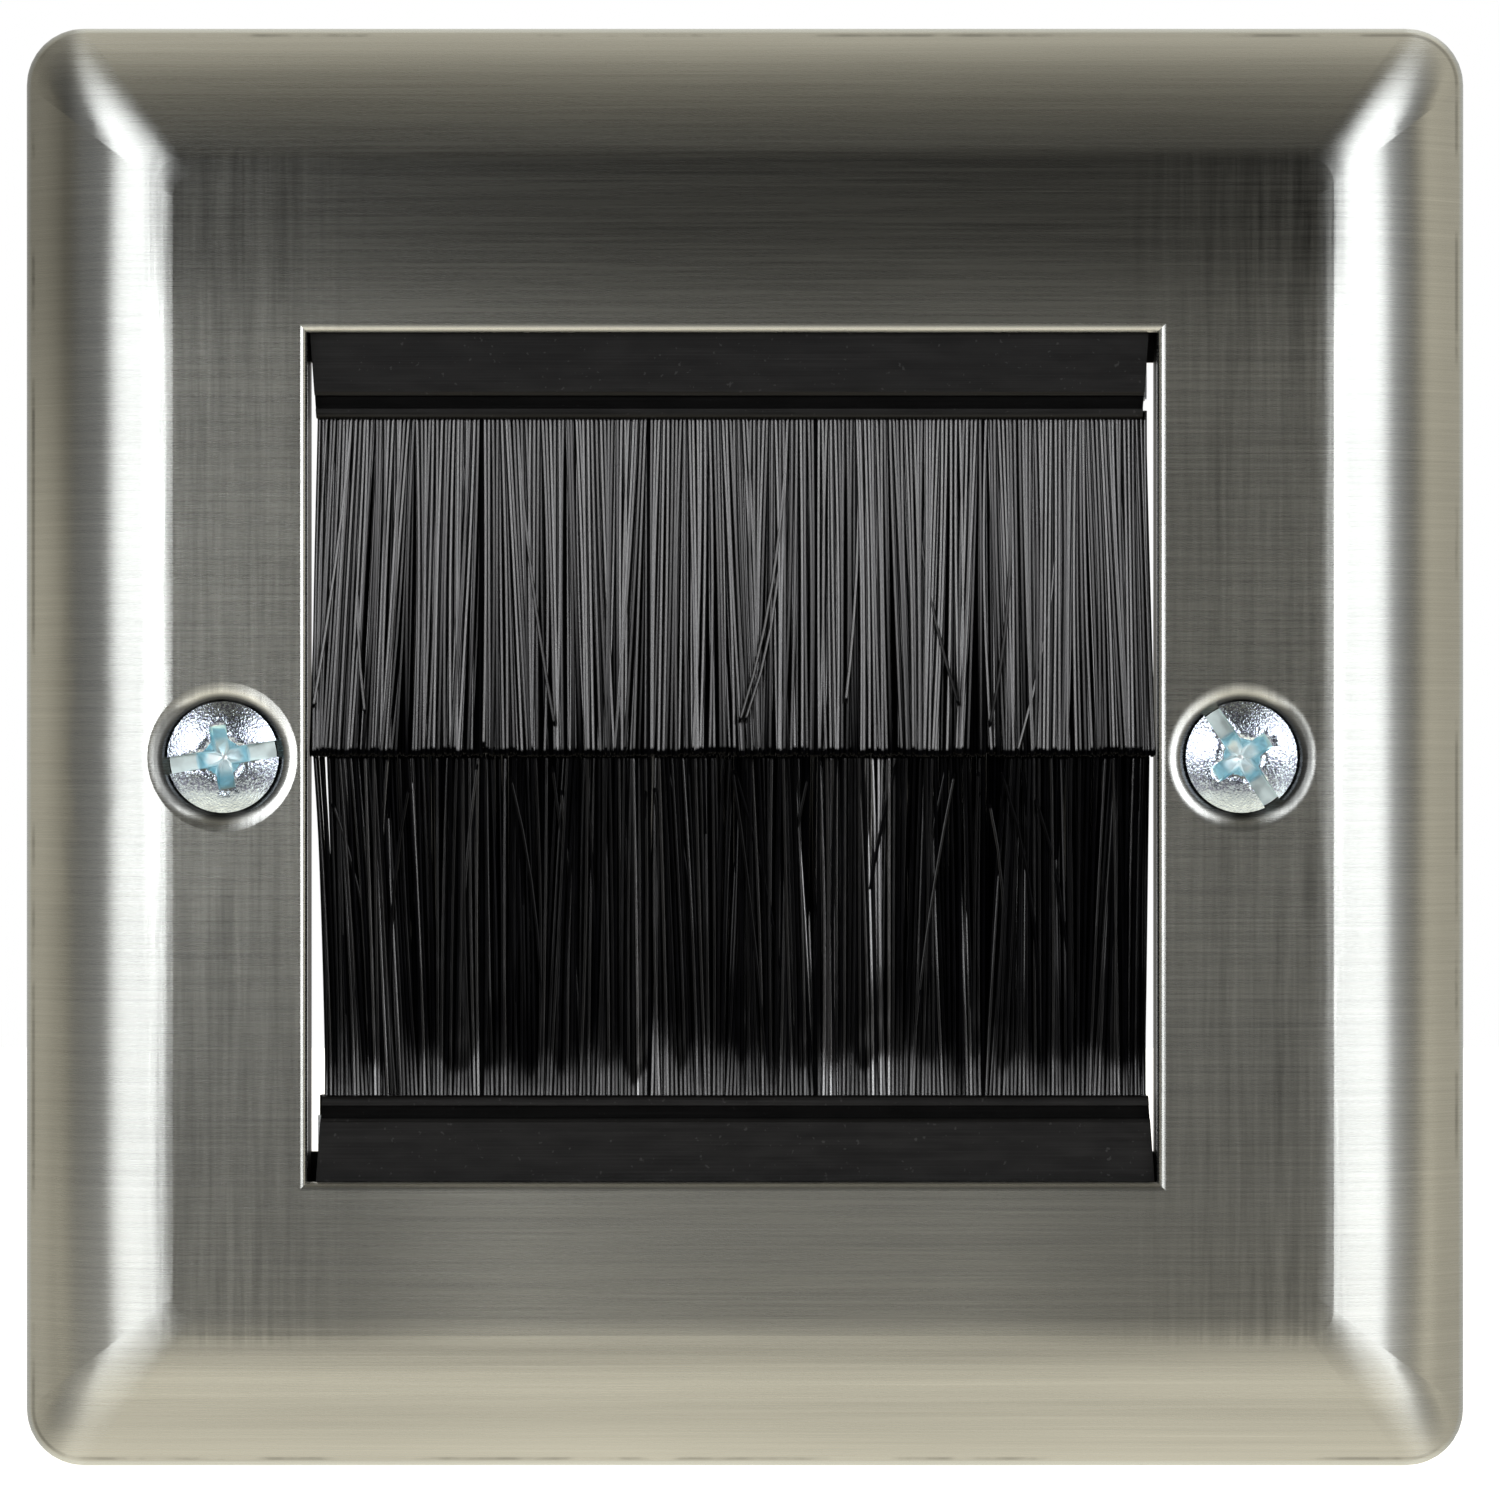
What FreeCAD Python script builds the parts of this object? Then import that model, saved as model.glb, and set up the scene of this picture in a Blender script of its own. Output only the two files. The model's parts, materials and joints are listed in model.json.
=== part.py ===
import FreeCAD, Part
import math
import os

# Brush cable-entry wall plate, single gang, in millimetres.
# +Z is up, -Y faces the room and the wall's surface is y = 0.
# The origin is the centre of the fixing-screw pattern on the wall's surface.

# Pressed steel face plate
PLATE_SIZE = 86.0
PLATE_CORNER_R = 3.4
PLATEAU_CORNER_R = 1.3
SHEET = 0.9
INNER_CORNER_R = 0.4
SKIRT_HEIGHT = 0.4
RIM_R = 1.3
BEVEL_R = 12.9
CREASE_R = 6.4
RIM_TILT = 50.0
CREASE_TILT = 9.0
# The pressed shell sits this far right of and above the punched pattern.
SHELL_OFFSET_X = 0.75
SHELL_OFFSET_Z = 0.6

# Cable aperture, a 50 mm square with a rolled front edge
APERTURE_HALF = 25.15
APERTURE_ROLL_R = 0.5

# Fixing screws, M3.5 x 25 with raised countersunk heads, and their dimples
SCREW_SPACING = 60.3
SCREW_LENGTH = 25.0
THREAD_R = 1.75
NECK_R = 1.55
THREAD_TIP_R = 1.2
HEAD_R = 3.3
HEAD_DOME = 0.75
HEAD_LAND = 0.12
SEAT_CLEARANCE = 0.05
SLOT_WIDTH = 1.0
SLOT_DEPTH_AT_RIM = 0.25
CROSS_TIP = 2.25
CROSS_HALF_WIDTH = 0.52
CROSS_FLOOR_TIP = 1.15
CROSS_FLOOR_HALF_WIDTH = 0.42
CROSS_DEPTH = 1.4
CROSS_POINT_TIP = 0.16
CROSS_POINT_HALF_WIDTH = 0.12
CROSS_POINT_DEPTH = 2.1
CROSS_CONE_R = 1.25
LEFT_SLOT_ANGLE = 9.0
RIGHT_SLOT_ANGLE = -56.5
DIMPLE_R = 4.45
DIMPLE_SHOULDER_R = 1.2
DIMPLE_DEPTH = 2.3
SEAT_TILT = 45.0
THREAD_GAP = 1.8
SCREW_HOLE_R = 2.1

# Moulded rear frame, held by four welded studs and push-on washers
FRAME_INNER_X = 25.2
FRAME_OUTER_X = 27.1
FRAME_INNER_Z = 26.2
FRAME_OUTER_Z = 27.8
FRAME_BACK = -0.3
FRAME_CORNER_R = 1.5
KEEPER_DEPTH = 0.6
KEEPER_INNER_Z = 23.6
DIMPLE_RELIEF_R = 4.6
DIMPLE_RELIEF_DEPTH = 2.0
STUD_X = 18.0
STUD_Z = 30.4
STUD_R = 1.25
STUD_LENGTH = 3.8
STUD_WELD_R = 1.7
STUD_WELD_HEIGHT = 0.3
EAR_R = 2.6
EAR_THICKNESS = 1.6
WASHER_R = 2.4
WASHER_THICKNESS = 0.35
WASHER_CROWN_R = 1.75
WASHER_CROWN_HEIGHT = 0.35
WASHER_NOTCHES = 6
WASHER_NOTCH_WIDTH = 0.3

# Brush strips: one extruded holder, crimped channel and core wire, used twice
STRIP_Y = -2.85
HOLDER_LIP_Z = 20.1
HOLDER_HALF_DEPTH = 1.95
HOLDER_LIP_HALF_DEPTH = 1.75
HOLDER_LIP_HEIGHT = 0.55
HOLDER_LIP_R = 0.35
HOLDER_GROOVE_HEIGHT = 0.8
HOLDER_GROOVE_DEPTH = 0.5
HOLDER_MOUTH_HALF = 0.85
HOLDER_POCKET_HALF = 1.3
HOLDER_POCKET_BOTTOM = 1.0
HOLDER_POCKET_TOP = 4.2
HOLDER_FACE_R = 0.2
HOLDER_LONG_END = 25.1
HOLDER_SHORT_END = 24.75
HOLDER_END_SLANT = 4.0
CHANNEL_HALF = 1.2
CHANNEL_WALL = 0.35
CHANNEL_BOTTOM = 1.15
CHANNEL_TOP = 4.05
CHANNEL_HALF_LENGTH = 24.6
WIRE_R = 0.4
WIRE_HEIGHT = 3.0
FOLD_HALF = 0.6

# Bristle curtains: rows of groups, each tilting about its root.
# Both lean towards the room; the upper tips pass in front of the lower ones.
GROUPS = 5
CURTAIN_HALF_WIDTH = 24.7
GROUP_GAP = 0.3
ROOT_HALF_THICKNESS = 0.6
TIP_HALF_THICKNESS = 0.4
ROOT_DROP = 1.0
UPPER_LEAN = -1.9
LOWER_LEAN = -0.55
UPPER_TIP_Z = 0.0
LOWER_TIP_Z = 0.3

# How far a cutter runs past what it cuts
PAST = 1.0
AROUND_Y = FreeCAD.Vector(0, 1, 0)


def edge_arc(start, radius, tilt_from, tilt_to, count):
    """(inset, height, tilt) at even steps of one arc of the pressed edge."""
    stations = []
    for step in range(count + 1):
        tilt = math.radians(tilt_from + (tilt_to - tilt_from) * step / count)
        first = math.radians(tilt_from)
        inset = start[0] + radius * (math.sin(first) - math.sin(tilt))
        height = start[1] + radius * (math.cos(tilt) - math.cos(first))
        stations.append((inset, height, tilt))
    return stations


RIM = edge_arc((0.0, SKIRT_HEIGHT), RIM_R, 90.0, RIM_TILT, 4)
BEVEL = edge_arc(RIM[-1], BEVEL_R, RIM_TILT, CREASE_TILT, 7)
CREASE = edge_arc(BEVEL[-1], CREASE_R, CREASE_TILT, 0.0, 3)
EDGE_WIDTH, PROJECTION = CREASE[-1][:2]
FRONT = -PROJECTION
SHEET_BACK = FRONT + SHEET


def chain(start, steps, place):
    """Closed face from a start point and steps: (end) is a line and (middle, end) an arc."""
    edges = []
    here = start
    for step in steps:
        end = step[-1]
        if len(step) == 2:
            arc = Part.Arc(place(*here), place(*step[0]), place(*end))
            edges.append(arc.toShape())
        else:
            edges.append(Part.makeLine(place(*here), place(*end)))
        here = end
    return Part.Face(Part.Wire(edges))


def box(low, high):
    """Axis-aligned box between two corners."""
    size = [high[axis] - low[axis] for axis in range(3)]
    return Part.makeBox(*size, FreeCAD.Vector(*low))


def rod(radius, x, z, y_from, y_to):
    """Cylinder along Y."""
    base = FreeCAD.Vector(x, y_from, z)
    return Part.makeCylinder(radius, y_to - y_from, base, AROUND_Y)


def lathe(start, steps, x, z):
    """Solid turned about an axis along Y; the profile is in (radius, y)."""
    face = chain(start, steps, lambda radius, y: FreeCAD.Vector(x + radius, y, z))
    return face.revolve(FreeCAD.Vector(x, 0, z), AROUND_Y, 360)


def turned(shape, angle, centre=(0, 0, 0)):
    """Copy turned about an axis along Y, anticlockwise as seen from the room."""
    copy = shape.copy()
    copy.rotate(FreeCAD.Vector(*centre), AROUND_Y, -angle)
    return copy


def rounded_square(half, corner, y):
    """Closed outline parallel to the wall, centred on the pressed shell."""
    core = half - corner
    diagonal = core + corner * math.sqrt(0.5)
    edges = []
    for quarter in range(4):
        cos_q = (1, 0, -1, 0)[quarter]
        sin_q = (0, 1, 0, -1)[quarter]

        def at(u, v):
            x = SHELL_OFFSET_X + u * cos_q - v * sin_q
            z = SHELL_OFFSET_Z + u * sin_q + v * cos_q
            return FreeCAD.Vector(x, y, z)

        edges.append(Part.makeLine(at(half, -core), at(half, core)))
        arc = Part.Arc(at(half, core), at(diagonal, diagonal), at(core, half))
        edges.append(arc.toShape())
    return Part.Wire(edges)


def shell_section(station, depth):
    """Outline of the pressed shell, depth mm under its outer skin."""
    inset, height, tilt = station
    share = inset / EDGE_WIDTH
    corner = PLATE_CORNER_R + (PLATEAU_CORNER_R - PLATE_CORNER_R) * share
    half = PLATE_SIZE / 2 - inset - depth * math.sin(tilt)
    y = -(height - depth * math.cos(tilt))
    return rounded_square(half, max(corner - depth, INNER_CORNER_R), y)


def pressed_block(depth, base_y):
    """Everything inside the skin that lies depth mm under the outer skin."""
    foot = shell_section(RIM[0], depth)
    foot.translate(FreeCAD.Vector(0, base_y + SKIRT_HEIGHT, 0))
    skirt = Part.Face(foot).extrude(FreeCAD.Vector(0, -SKIRT_HEIGHT - base_y, 0))
    block = skirt
    for stations in (RIM, BEVEL, CREASE):
        wires = [shell_section(station, depth) for station in stations]
        block = block.fuse(Part.makeLoft(wires, True, False))
    return block


def quarter_lag(radius):
    """How far the middle of a quarter round lies inside its square corner."""
    return radius * (1 - math.sqrt(0.5))


def aperture_cutter():
    """Square hole whose front edge flares over a roll; its corners are mitred."""
    half = APERTURE_HALF
    roll = APERTURE_ROLL_R
    wide = half + roll
    lag = quarter_lag(roll)
    front = FRONT - PAST
    back = SHEET_BACK + PAST
    steps = [
        ((wide, FRONT),),
        ((half + lag, FRONT + lag), (half, FRONT + roll)),
        ((half, back),),
        ((-half, back),),
        ((-half, FRONT + roll),),
        ((-half - lag, FRONT + lag), (-wide, FRONT)),
        ((-wide, front),),
        ((wide, front),),
    ]
    reach = FreeCAD.Vector(0, 0, 2 * wide + 2 * PAST)
    face = chain((wide, front), steps, lambda u, y: FreeCAD.Vector(u, y, -wide - PAST))
    upright = face.extrude(reach)
    return upright.common(turned(upright, 90))


def shoulder_point(tilt):
    """(radius, y) on the dimple's rounded shoulder where the sheet has this tilt."""
    angle = math.radians(tilt)
    radius = DIMPLE_R - DIMPLE_SHOULDER_R * math.sin(angle)
    return radius, FRONT + DIMPLE_SHOULDER_R * (1 - math.cos(angle))


def dimple(x):
    """Ring of pressed sheet that drops from the flat to a countersunk seat."""
    seat_r, seat_y = shoulder_point(SEAT_TILT)
    floor = FRONT + DIMPLE_DEPTH
    steps = [
        (shoulder_point(SEAT_TILT / 2), (seat_r, seat_y)),
        ((SCREW_HOLE_R, seat_y + seat_r - SCREW_HOLE_R),),
        ((SCREW_HOLE_R, floor),),
        ((DIMPLE_R - (floor - SHEET_BACK), floor),),
        ((DIMPLE_R, SHEET_BACK),),
        ((DIMPLE_R, FRONT),),
    ]
    return lathe((DIMPLE_R, FRONT), steps, x, 0)


def face_plate():
    """Pressed sheet shell with the aperture and two dimpled screw holes."""
    shell = pressed_block(0.0, 0.0).cut(pressed_block(SHEET, PAST))
    shell = shell.cut(aperture_cutter())
    for x in (-SCREW_SPACING / 2, SCREW_SPACING / 2):
        shell = shell.cut(rod(DIMPLE_R, x, 0, FRONT - PAST, SHEET_BACK + PAST))
        shell = shell.fuse(dimple(x))
    return shell.removeSplitter()


def stud_places():
    """Centres of the four welded studs."""
    return [(x, z) for x in (-STUD_X, STUD_X) for z in (-STUD_Z, STUD_Z)]


def frame_ears():
    """Four lugs that carry the frame on the studs."""
    ears = []
    wall_middle = (FRAME_INNER_Z + FRAME_OUTER_Z) / 2
    for x, z in stud_places():
        foot = math.copysign(wall_middle, z)
        low = (x - EAR_R, SHEET_BACK, min(z, foot))
        high = (x + EAR_R, SHEET_BACK + EAR_THICKNESS, max(z, foot))
        ears.append(box(low, high))
        ears.append(rod(EAR_R, x, z, SHEET_BACK, SHEET_BACK + EAR_THICKNESS))
    return ears


def rear_frame():
    """Square moulded tube behind the aperture, with ears and keeper lips."""
    outer = box(
        (-FRAME_OUTER_X, SHEET_BACK, -FRAME_OUTER_Z),
        (FRAME_OUTER_X, FRAME_BACK, FRAME_OUTER_Z),
    )
    uprights = [e for e in outer.Edges if e.BoundBox.YLength > KEEPER_DEPTH]
    frame = outer.makeFillet(FRAME_CORNER_R, uprights)
    frame = frame.fuse(frame_ears())
    pocket_back = FRAME_BACK - KEEPER_DEPTH
    frame = frame.cut(
        box(
            (-FRAME_INNER_X, SHEET_BACK - PAST, -FRAME_INNER_Z),
            (FRAME_INNER_X, pocket_back, FRAME_INNER_Z),
        )
    )
    frame = frame.cut(
        box(
            (-FRAME_INNER_X, pocket_back - PAST, -KEEPER_INNER_Z),
            (FRAME_INNER_X, FRAME_BACK + PAST, KEEPER_INNER_Z),
        )
    )
    for x in (-SCREW_SPACING / 2, SCREW_SPACING / 2):
        relief_back = SHEET_BACK + DIMPLE_RELIEF_DEPTH
        frame = frame.cut(rod(DIMPLE_RELIEF_R, x, 0, SHEET_BACK - PAST, relief_back))
    for x, z in stud_places():
        frame = frame.cut(rod(STUD_WELD_R, x, z, SHEET_BACK - PAST, FRAME_BACK))
    return frame.removeSplitter()


def weld_studs():
    """Four studs with weld collars, standing on the back of the sheet."""
    studs = []
    collar_top = SHEET_BACK + STUD_WELD_HEIGHT
    for x, z in stud_places():
        collar = rod(STUD_WELD_R, x, z, SHEET_BACK, collar_top)
        studs.append(collar.fuse(rod(STUD_R, x, z, SHEET_BACK, SHEET_BACK + STUD_LENGTH)))
    return Part.makeCompound([stud.removeSplitter() for stud in studs])


def push_on_washer(x, z):
    """Spring washer with a toothed crown that grips the stud."""
    seat = SHEET_BACK + EAR_THICKNESS
    top = seat + WASHER_THICKNESS
    steps = [
        ((WASHER_R, seat),),
        ((WASHER_R, top),),
        ((WASHER_CROWN_R, top),),
        ((STUD_R, top + WASHER_CROWN_HEIGHT),),
        ((STUD_R, seat + WASHER_CROWN_HEIGHT),),
        ((WASHER_CROWN_R, seat),),
    ]
    washer = lathe((WASHER_CROWN_R, seat), steps, x, z)
    half = WASHER_NOTCH_WIDTH / 2
    for notch in range(WASHER_NOTCHES):
        bar = box((x, seat - PAST, z - half), (x + WASHER_CROWN_R, top + PAST, z + half))
        washer = washer.cut(turned(bar, 360 * notch / WASHER_NOTCHES, (x, 0, z)))
    return washer


def push_on_washers():
    """One washer on each stud."""
    return Part.makeCompound([push_on_washer(x, z) for x, z in stud_places()])


def strip_bar(start, steps, half_length):
    """Bar along X whose section is in (depth from the strip's plane, height above the lip)."""
    face = chain(
        start,
        steps,
        lambda depth, height: FreeCAD.Vector(
            -half_length, STRIP_Y + depth, HOLDER_LIP_Z + height
        ),
    )
    return face.extrude(FreeCAD.Vector(2 * half_length, 0, 0))


def brush_holder():
    """Upper holder: an open channel with a grooved face, cut on a slant at both ends."""
    face = HOLDER_HALF_DEPTH
    lip = HOLDER_LIP_HALF_DEPTH
    lip_round = HOLDER_LIP_R
    lag = quarter_lag(lip_round)
    groove = HOLDER_GROOVE_DEPTH
    shoulder = HOLDER_LIP_HEIGHT + HOLDER_GROOVE_HEIGHT
    top = FRAME_INNER_Z - HOLDER_LIP_Z
    steps = [
        ((-lip + lip_round, 0),),
        ((-lip + lag, lag), (-lip, lip_round)),
        ((-lip, HOLDER_LIP_HEIGHT),),
        ((-face + groove, HOLDER_LIP_HEIGHT),),
        ((-face + groove, shoulder),),
        ((-face + HOLDER_FACE_R, shoulder),),
        ((-face, shoulder + HOLDER_FACE_R),),
        ((-face, top),),
        ((face, top),),
        ((face, lip_round),),
        ((face - lag, lag), (face - lip_round, 0)),
        ((HOLDER_MOUTH_HALF, 0),),
        ((HOLDER_MOUTH_HALF, HOLDER_POCKET_BOTTOM),),
        ((HOLDER_POCKET_HALF, HOLDER_POCKET_BOTTOM),),
        ((HOLDER_POCKET_HALF, HOLDER_POCKET_TOP),),
        ((-HOLDER_POCKET_HALF, HOLDER_POCKET_TOP),),
        ((-HOLDER_POCKET_HALF, HOLDER_POCKET_BOTTOM),),
        ((-HOLDER_MOUTH_HALF, HOLDER_POCKET_BOTTOM),),
        ((-HOLDER_MOUTH_HALF, 0),),
    ]
    bar = strip_bar((-HOLDER_MOUTH_HALF, 0), steps, HOLDER_LONG_END + PAST)
    slant = top * math.tan(math.radians(HOLDER_END_SLANT))
    low, high = HOLDER_LIP_Z, HOLDER_LIP_Z + top
    trim = chain(
        (-HOLDER_LONG_END, high),
        [
            ((-HOLDER_LONG_END + slant, low),),
            ((HOLDER_SHORT_END - slant, low),),
            ((HOLDER_SHORT_END, high),),
            ((-HOLDER_LONG_END, high),),
        ],
        lambda x, z: FreeCAD.Vector(x, STRIP_Y - 2 * face, z),
    )
    return bar.common(trim.extrude(FreeCAD.Vector(0, 4 * face, 0)))


def crimp_channel():
    """Folded steel channel that grips the filaments round the core wire."""
    out = CHANNEL_HALF
    wall = out - CHANNEL_WALL
    ceiling = CHANNEL_TOP - CHANNEL_WALL
    steps = [
        ((-out, CHANNEL_TOP),),
        ((out, CHANNEL_TOP),),
        ((out, CHANNEL_BOTTOM),),
        ((wall, CHANNEL_BOTTOM),),
        ((wall, ceiling),),
        ((-wall, ceiling),),
        ((-wall, CHANNEL_BOTTOM),),
        ((-out, CHANNEL_BOTTOM),),
    ]
    return strip_bar((-out, CHANNEL_BOTTOM), steps, CHANNEL_HALF_LENGTH)


def core_wire():
    """Wire along the channel, round which the filaments are folded."""
    base = FreeCAD.Vector(-CHANNEL_HALF_LENGTH, STRIP_Y, HOLDER_LIP_Z + WIRE_HEIGHT)
    length = 2 * CHANNEL_HALF_LENGTH
    return Part.makeCylinder(WIRE_R, length, base, FreeCAD.Vector(1, 0, 0))


def filament_fold():
    """Clamped filaments: folded over the core wire and out through the mouth."""
    crown = CHANNEL_TOP - CHANNEL_WALL - WIRE_HEIGHT
    steps = [
        ((-FOLD_HALF, WIRE_HEIGHT),),
        ((0, WIRE_HEIGHT + crown), (FOLD_HALF, WIRE_HEIGHT)),
        ((FOLD_HALF, 0),),
        ((-FOLD_HALF, 0),),
    ]
    return strip_bar((-FOLD_HALF, 0), steps, CHANNEL_HALF_LENGTH).cut(core_wire())


def bristle_group(index, root_z, tip_z, lean):
    """One group of a curtain: a thin leaning slab with a round root on its hinge line."""
    width = (2 * CURTAIN_HALF_WIDTH - (GROUPS - 1) * GROUP_GAP) / GROUPS
    x = -CURTAIN_HALF_WIDTH + index * (width + GROUP_GAP)
    root = ROOT_HALF_THICKNESS
    tip = TIP_HALF_THICKNESS
    outward = root if root_z > 0 else -root
    steps = [
        ((STRIP_Y, root_z + outward), (STRIP_Y + root, root_z)),
        ((STRIP_Y + lean + tip, tip_z),),
        ((STRIP_Y + lean - tip, tip_z),),
        ((STRIP_Y - root, root_z),),
    ]
    start = (STRIP_Y - root, root_z)
    face = chain(start, steps, lambda y, z: FreeCAD.Vector(x, y, z))
    return face.extrude(FreeCAD.Vector(width, 0, 0))


def cross_outline(tip, half_width, y):
    """Twelve-sided cross, centred on the Y axis."""
    corners = []
    for quarter in range(4):
        angle = math.radians(90 * quarter)
        for u, v in ((half_width, -half_width), (tip, -half_width), (tip, half_width)):
            x = u * math.cos(angle) - v * math.sin(angle)
            z = u * math.sin(angle) + v * math.cos(angle)
            corners.append(FreeCAD.Vector(x, y, z))
    corners.append(corners[0])
    return Part.makePolygon(corners)


def fixing_screw(x, slot_angle):
    """M3.5 raised countersunk screw with a combined slot and cross recess."""
    seat_r, seat_y = shoulder_point(SEAT_TILT)
    rim_back = seat_y + seat_r - HEAD_R - SEAT_CLEARANCE * math.sqrt(2)
    rim_front = rim_back - HEAD_LAND
    top = rim_front - HEAD_DOME
    neck_start = rim_back + HEAD_R - NECK_R
    thread_start = FRONT + DIMPLE_DEPTH + THREAD_GAP
    end = rim_back + SCREW_LENGTH
    dome_r = (HEAD_R**2 + HEAD_DOME**2) / (2 * HEAD_DOME)
    middle_r = HEAD_R / 2
    middle_y = top + dome_r - math.sqrt(dome_r**2 - middle_r**2)
    tip = THREAD_R - THREAD_TIP_R
    steps = [
        ((middle_r, middle_y), (HEAD_R, rim_front)),
        ((HEAD_R, rim_back),),
        ((NECK_R, neck_start),),
        ((NECK_R, thread_start),),
        ((THREAD_R, thread_start + THREAD_R - NECK_R),),
        ((THREAD_R, end - tip),),
        ((THREAD_TIP_R, end),),
        ((0, end),),
        ((0, top),),
    ]
    screw = lathe((0, top), steps, 0, 0)
    slot_back = rim_front + SLOT_DEPTH_AT_RIM
    reach = HEAD_R + PAST
    half = SLOT_WIDTH / 2
    screw = screw.cut(box((-reach, top - PAST, -half), (reach, slot_back, half)))
    mouth = cross_outline(CROSS_TIP, CROSS_HALF_WIDTH, top)
    floor = cross_outline(CROSS_FLOOR_TIP, CROSS_FLOOR_HALF_WIDTH, top + CROSS_DEPTH)
    point_y = top + CROSS_POINT_DEPTH
    point = cross_outline(CROSS_POINT_TIP, CROSS_POINT_HALF_WIDTH, point_y)
    screw = screw.cut(Part.makeLoft([mouth, floor, point], True, True))
    centre = FreeCAD.Vector(0, top, 0)
    screw = screw.cut(Part.makeCone(CROSS_CONE_R, 0, CROSS_POINT_DEPTH, centre, AROUND_Y))
    screw = turned(screw, slot_angle)
    screw.translate(FreeCAD.Vector(x, 0, 0))
    return screw


def brush_strips():
    """Both strips: the lower one is the upper one turned end over end."""
    makers = {
        "brush_holder": brush_holder,
        "crimp_channel": crimp_channel,
        "core_wire": core_wire,
        "filament_fold": filament_fold,
    }
    nodes = {}
    for name, make in makers.items():
        upper = make()
        nodes["upper_" + name] = upper
        nodes["lower_" + name] = turned(upper, 180)
    root_z = HOLDER_LIP_Z - ROOT_DROP
    for index in range(GROUPS):
        upper = bristle_group(index, root_z, UPPER_TIP_Z, UPPER_LEAN)
        lower = bristle_group(index, -root_z, LOWER_TIP_Z, LOWER_LEAN)
        nodes[f"upper_bristles_{index + 1}"] = upper
        nodes[f"lower_bristles_{index + 1}"] = lower
    return nodes


def main():
    nodes = {
        "face_plate": face_plate(),
        "rear_frame": rear_frame(),
        "weld_studs": weld_studs(),
        "push_on_washers": push_on_washers(),
        "left_fixing_screw": fixing_screw(-SCREW_SPACING / 2, LEFT_SLOT_ANGLE),
        "right_fixing_screw": fixing_screw(SCREW_SPACING / 2, RIGHT_SLOT_ANGLE),
    }
    nodes.update(brush_strips())
    os.makedirs("parts", exist_ok=True)
    for name, shape in nodes.items():
        shape.exportStep(f"parts/{name}.step")
        print(name, len(shape.Solids), shape.isValid(), round(shape.Volume, 2))


main()
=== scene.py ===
import json
import math

import bmesh
import bpy
import numpy as np
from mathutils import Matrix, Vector


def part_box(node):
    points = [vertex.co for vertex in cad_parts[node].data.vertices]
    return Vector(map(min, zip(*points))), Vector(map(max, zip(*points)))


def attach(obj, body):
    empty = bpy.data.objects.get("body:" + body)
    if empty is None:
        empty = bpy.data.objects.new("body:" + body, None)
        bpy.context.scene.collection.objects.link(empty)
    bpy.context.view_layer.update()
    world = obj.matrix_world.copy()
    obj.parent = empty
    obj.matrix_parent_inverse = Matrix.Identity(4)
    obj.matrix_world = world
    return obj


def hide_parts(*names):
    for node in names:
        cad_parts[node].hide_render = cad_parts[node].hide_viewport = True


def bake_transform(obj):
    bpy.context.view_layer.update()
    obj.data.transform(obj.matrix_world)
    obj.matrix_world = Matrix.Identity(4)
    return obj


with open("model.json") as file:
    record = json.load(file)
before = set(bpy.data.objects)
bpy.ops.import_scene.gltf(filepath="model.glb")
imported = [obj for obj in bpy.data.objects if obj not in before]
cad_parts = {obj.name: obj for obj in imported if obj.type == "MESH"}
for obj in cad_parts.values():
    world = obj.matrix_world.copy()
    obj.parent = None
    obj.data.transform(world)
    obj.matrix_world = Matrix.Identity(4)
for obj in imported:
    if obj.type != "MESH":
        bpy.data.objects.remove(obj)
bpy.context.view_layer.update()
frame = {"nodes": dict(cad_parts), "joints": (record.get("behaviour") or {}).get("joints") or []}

# Lengths are in millimetres, in the row frame, up to the moment a mesh or a lamp is made.
MM = 0.001

# One nylon filament: its radius, the sides of its tube, and its last two rings' share of that radius
FILAMENT_R = 0.105
FILAMENT_SIDES = 6
TIP_TAPER = (0.85, 0.45)
# Places along a filament, from its root to its tip, where its tube has a ring
STATIONS = (0, 0.01, 0.06, 0.12, 0.18, 0.24, 0.31, 0.4, 0.52, 0.67, 0.83, 0.976, 0.984, 0.994, 1.0)
# Rings at the cut tip that have no gloss
DULL_RINGS = 3

# A curtain's layers, the packed ones at the back; spacing of filaments, and its jitter as a share
FILAMENT_LAYERS = 5
PACKED_LAYERS = 2
FILAMENT_PITCH, PITCH_JITTER = 0.245, 0.18
PACKED_PITCH, PACKED_JITTER = 2 * FILAMENT_R * 0.97, 0.03
FILAMENT_TOP = 20.6
ROOT_HALF_DEPTH = 0.46
TIP_HALF_DEPTH = 0.32
TIP_CLEARANCE = 0.1
EDGE_INSET = 0.03
# Filaments that close the gap to the next group sit this far to either side of it, by layer
GAP_STAGGER = 0.03
CURTAIN_SEED = 7
# Outermost filaments of each curtain: x at the root and at the tip, left then right
CURTAIN_ENDS = {
    "upper": ((-24.55, -25.0), (24.55, 25.0)),
    "lower": ((-24.15, -24.85), (24.5, 24.75)),
}
# The loose end of the lower curtain: its width at the root, where its tips gather and how closely
LOOSE_END = 0.9
LOOSE_TIPS = (-24.76, -24.42, -24.02)
LOOSE_SCATTER = 0.03

# Sideways sway of the tips: size and spacing of the clumps, then of those within one layer
SWAY_WAVES = ((0.4, 2.2), (0.4, 0.75))
LAYER_SWAY = (0.15, 1.2)
LAYER_SHIFT = 30
SWAY_SCATTER = 0.07
# How late along its length a filament splays sideways, and how far its middle bows sideways
SPLAY_CURVE = 1.15
LOOSE_SPLAY_CURVE = 1.9
SIDE_BOW = 0.1
# How late along its length a filament takes up its lean towards the room
FORWARD_CURVE = {"upper": 1.2, "lower": 1.7}
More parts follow.
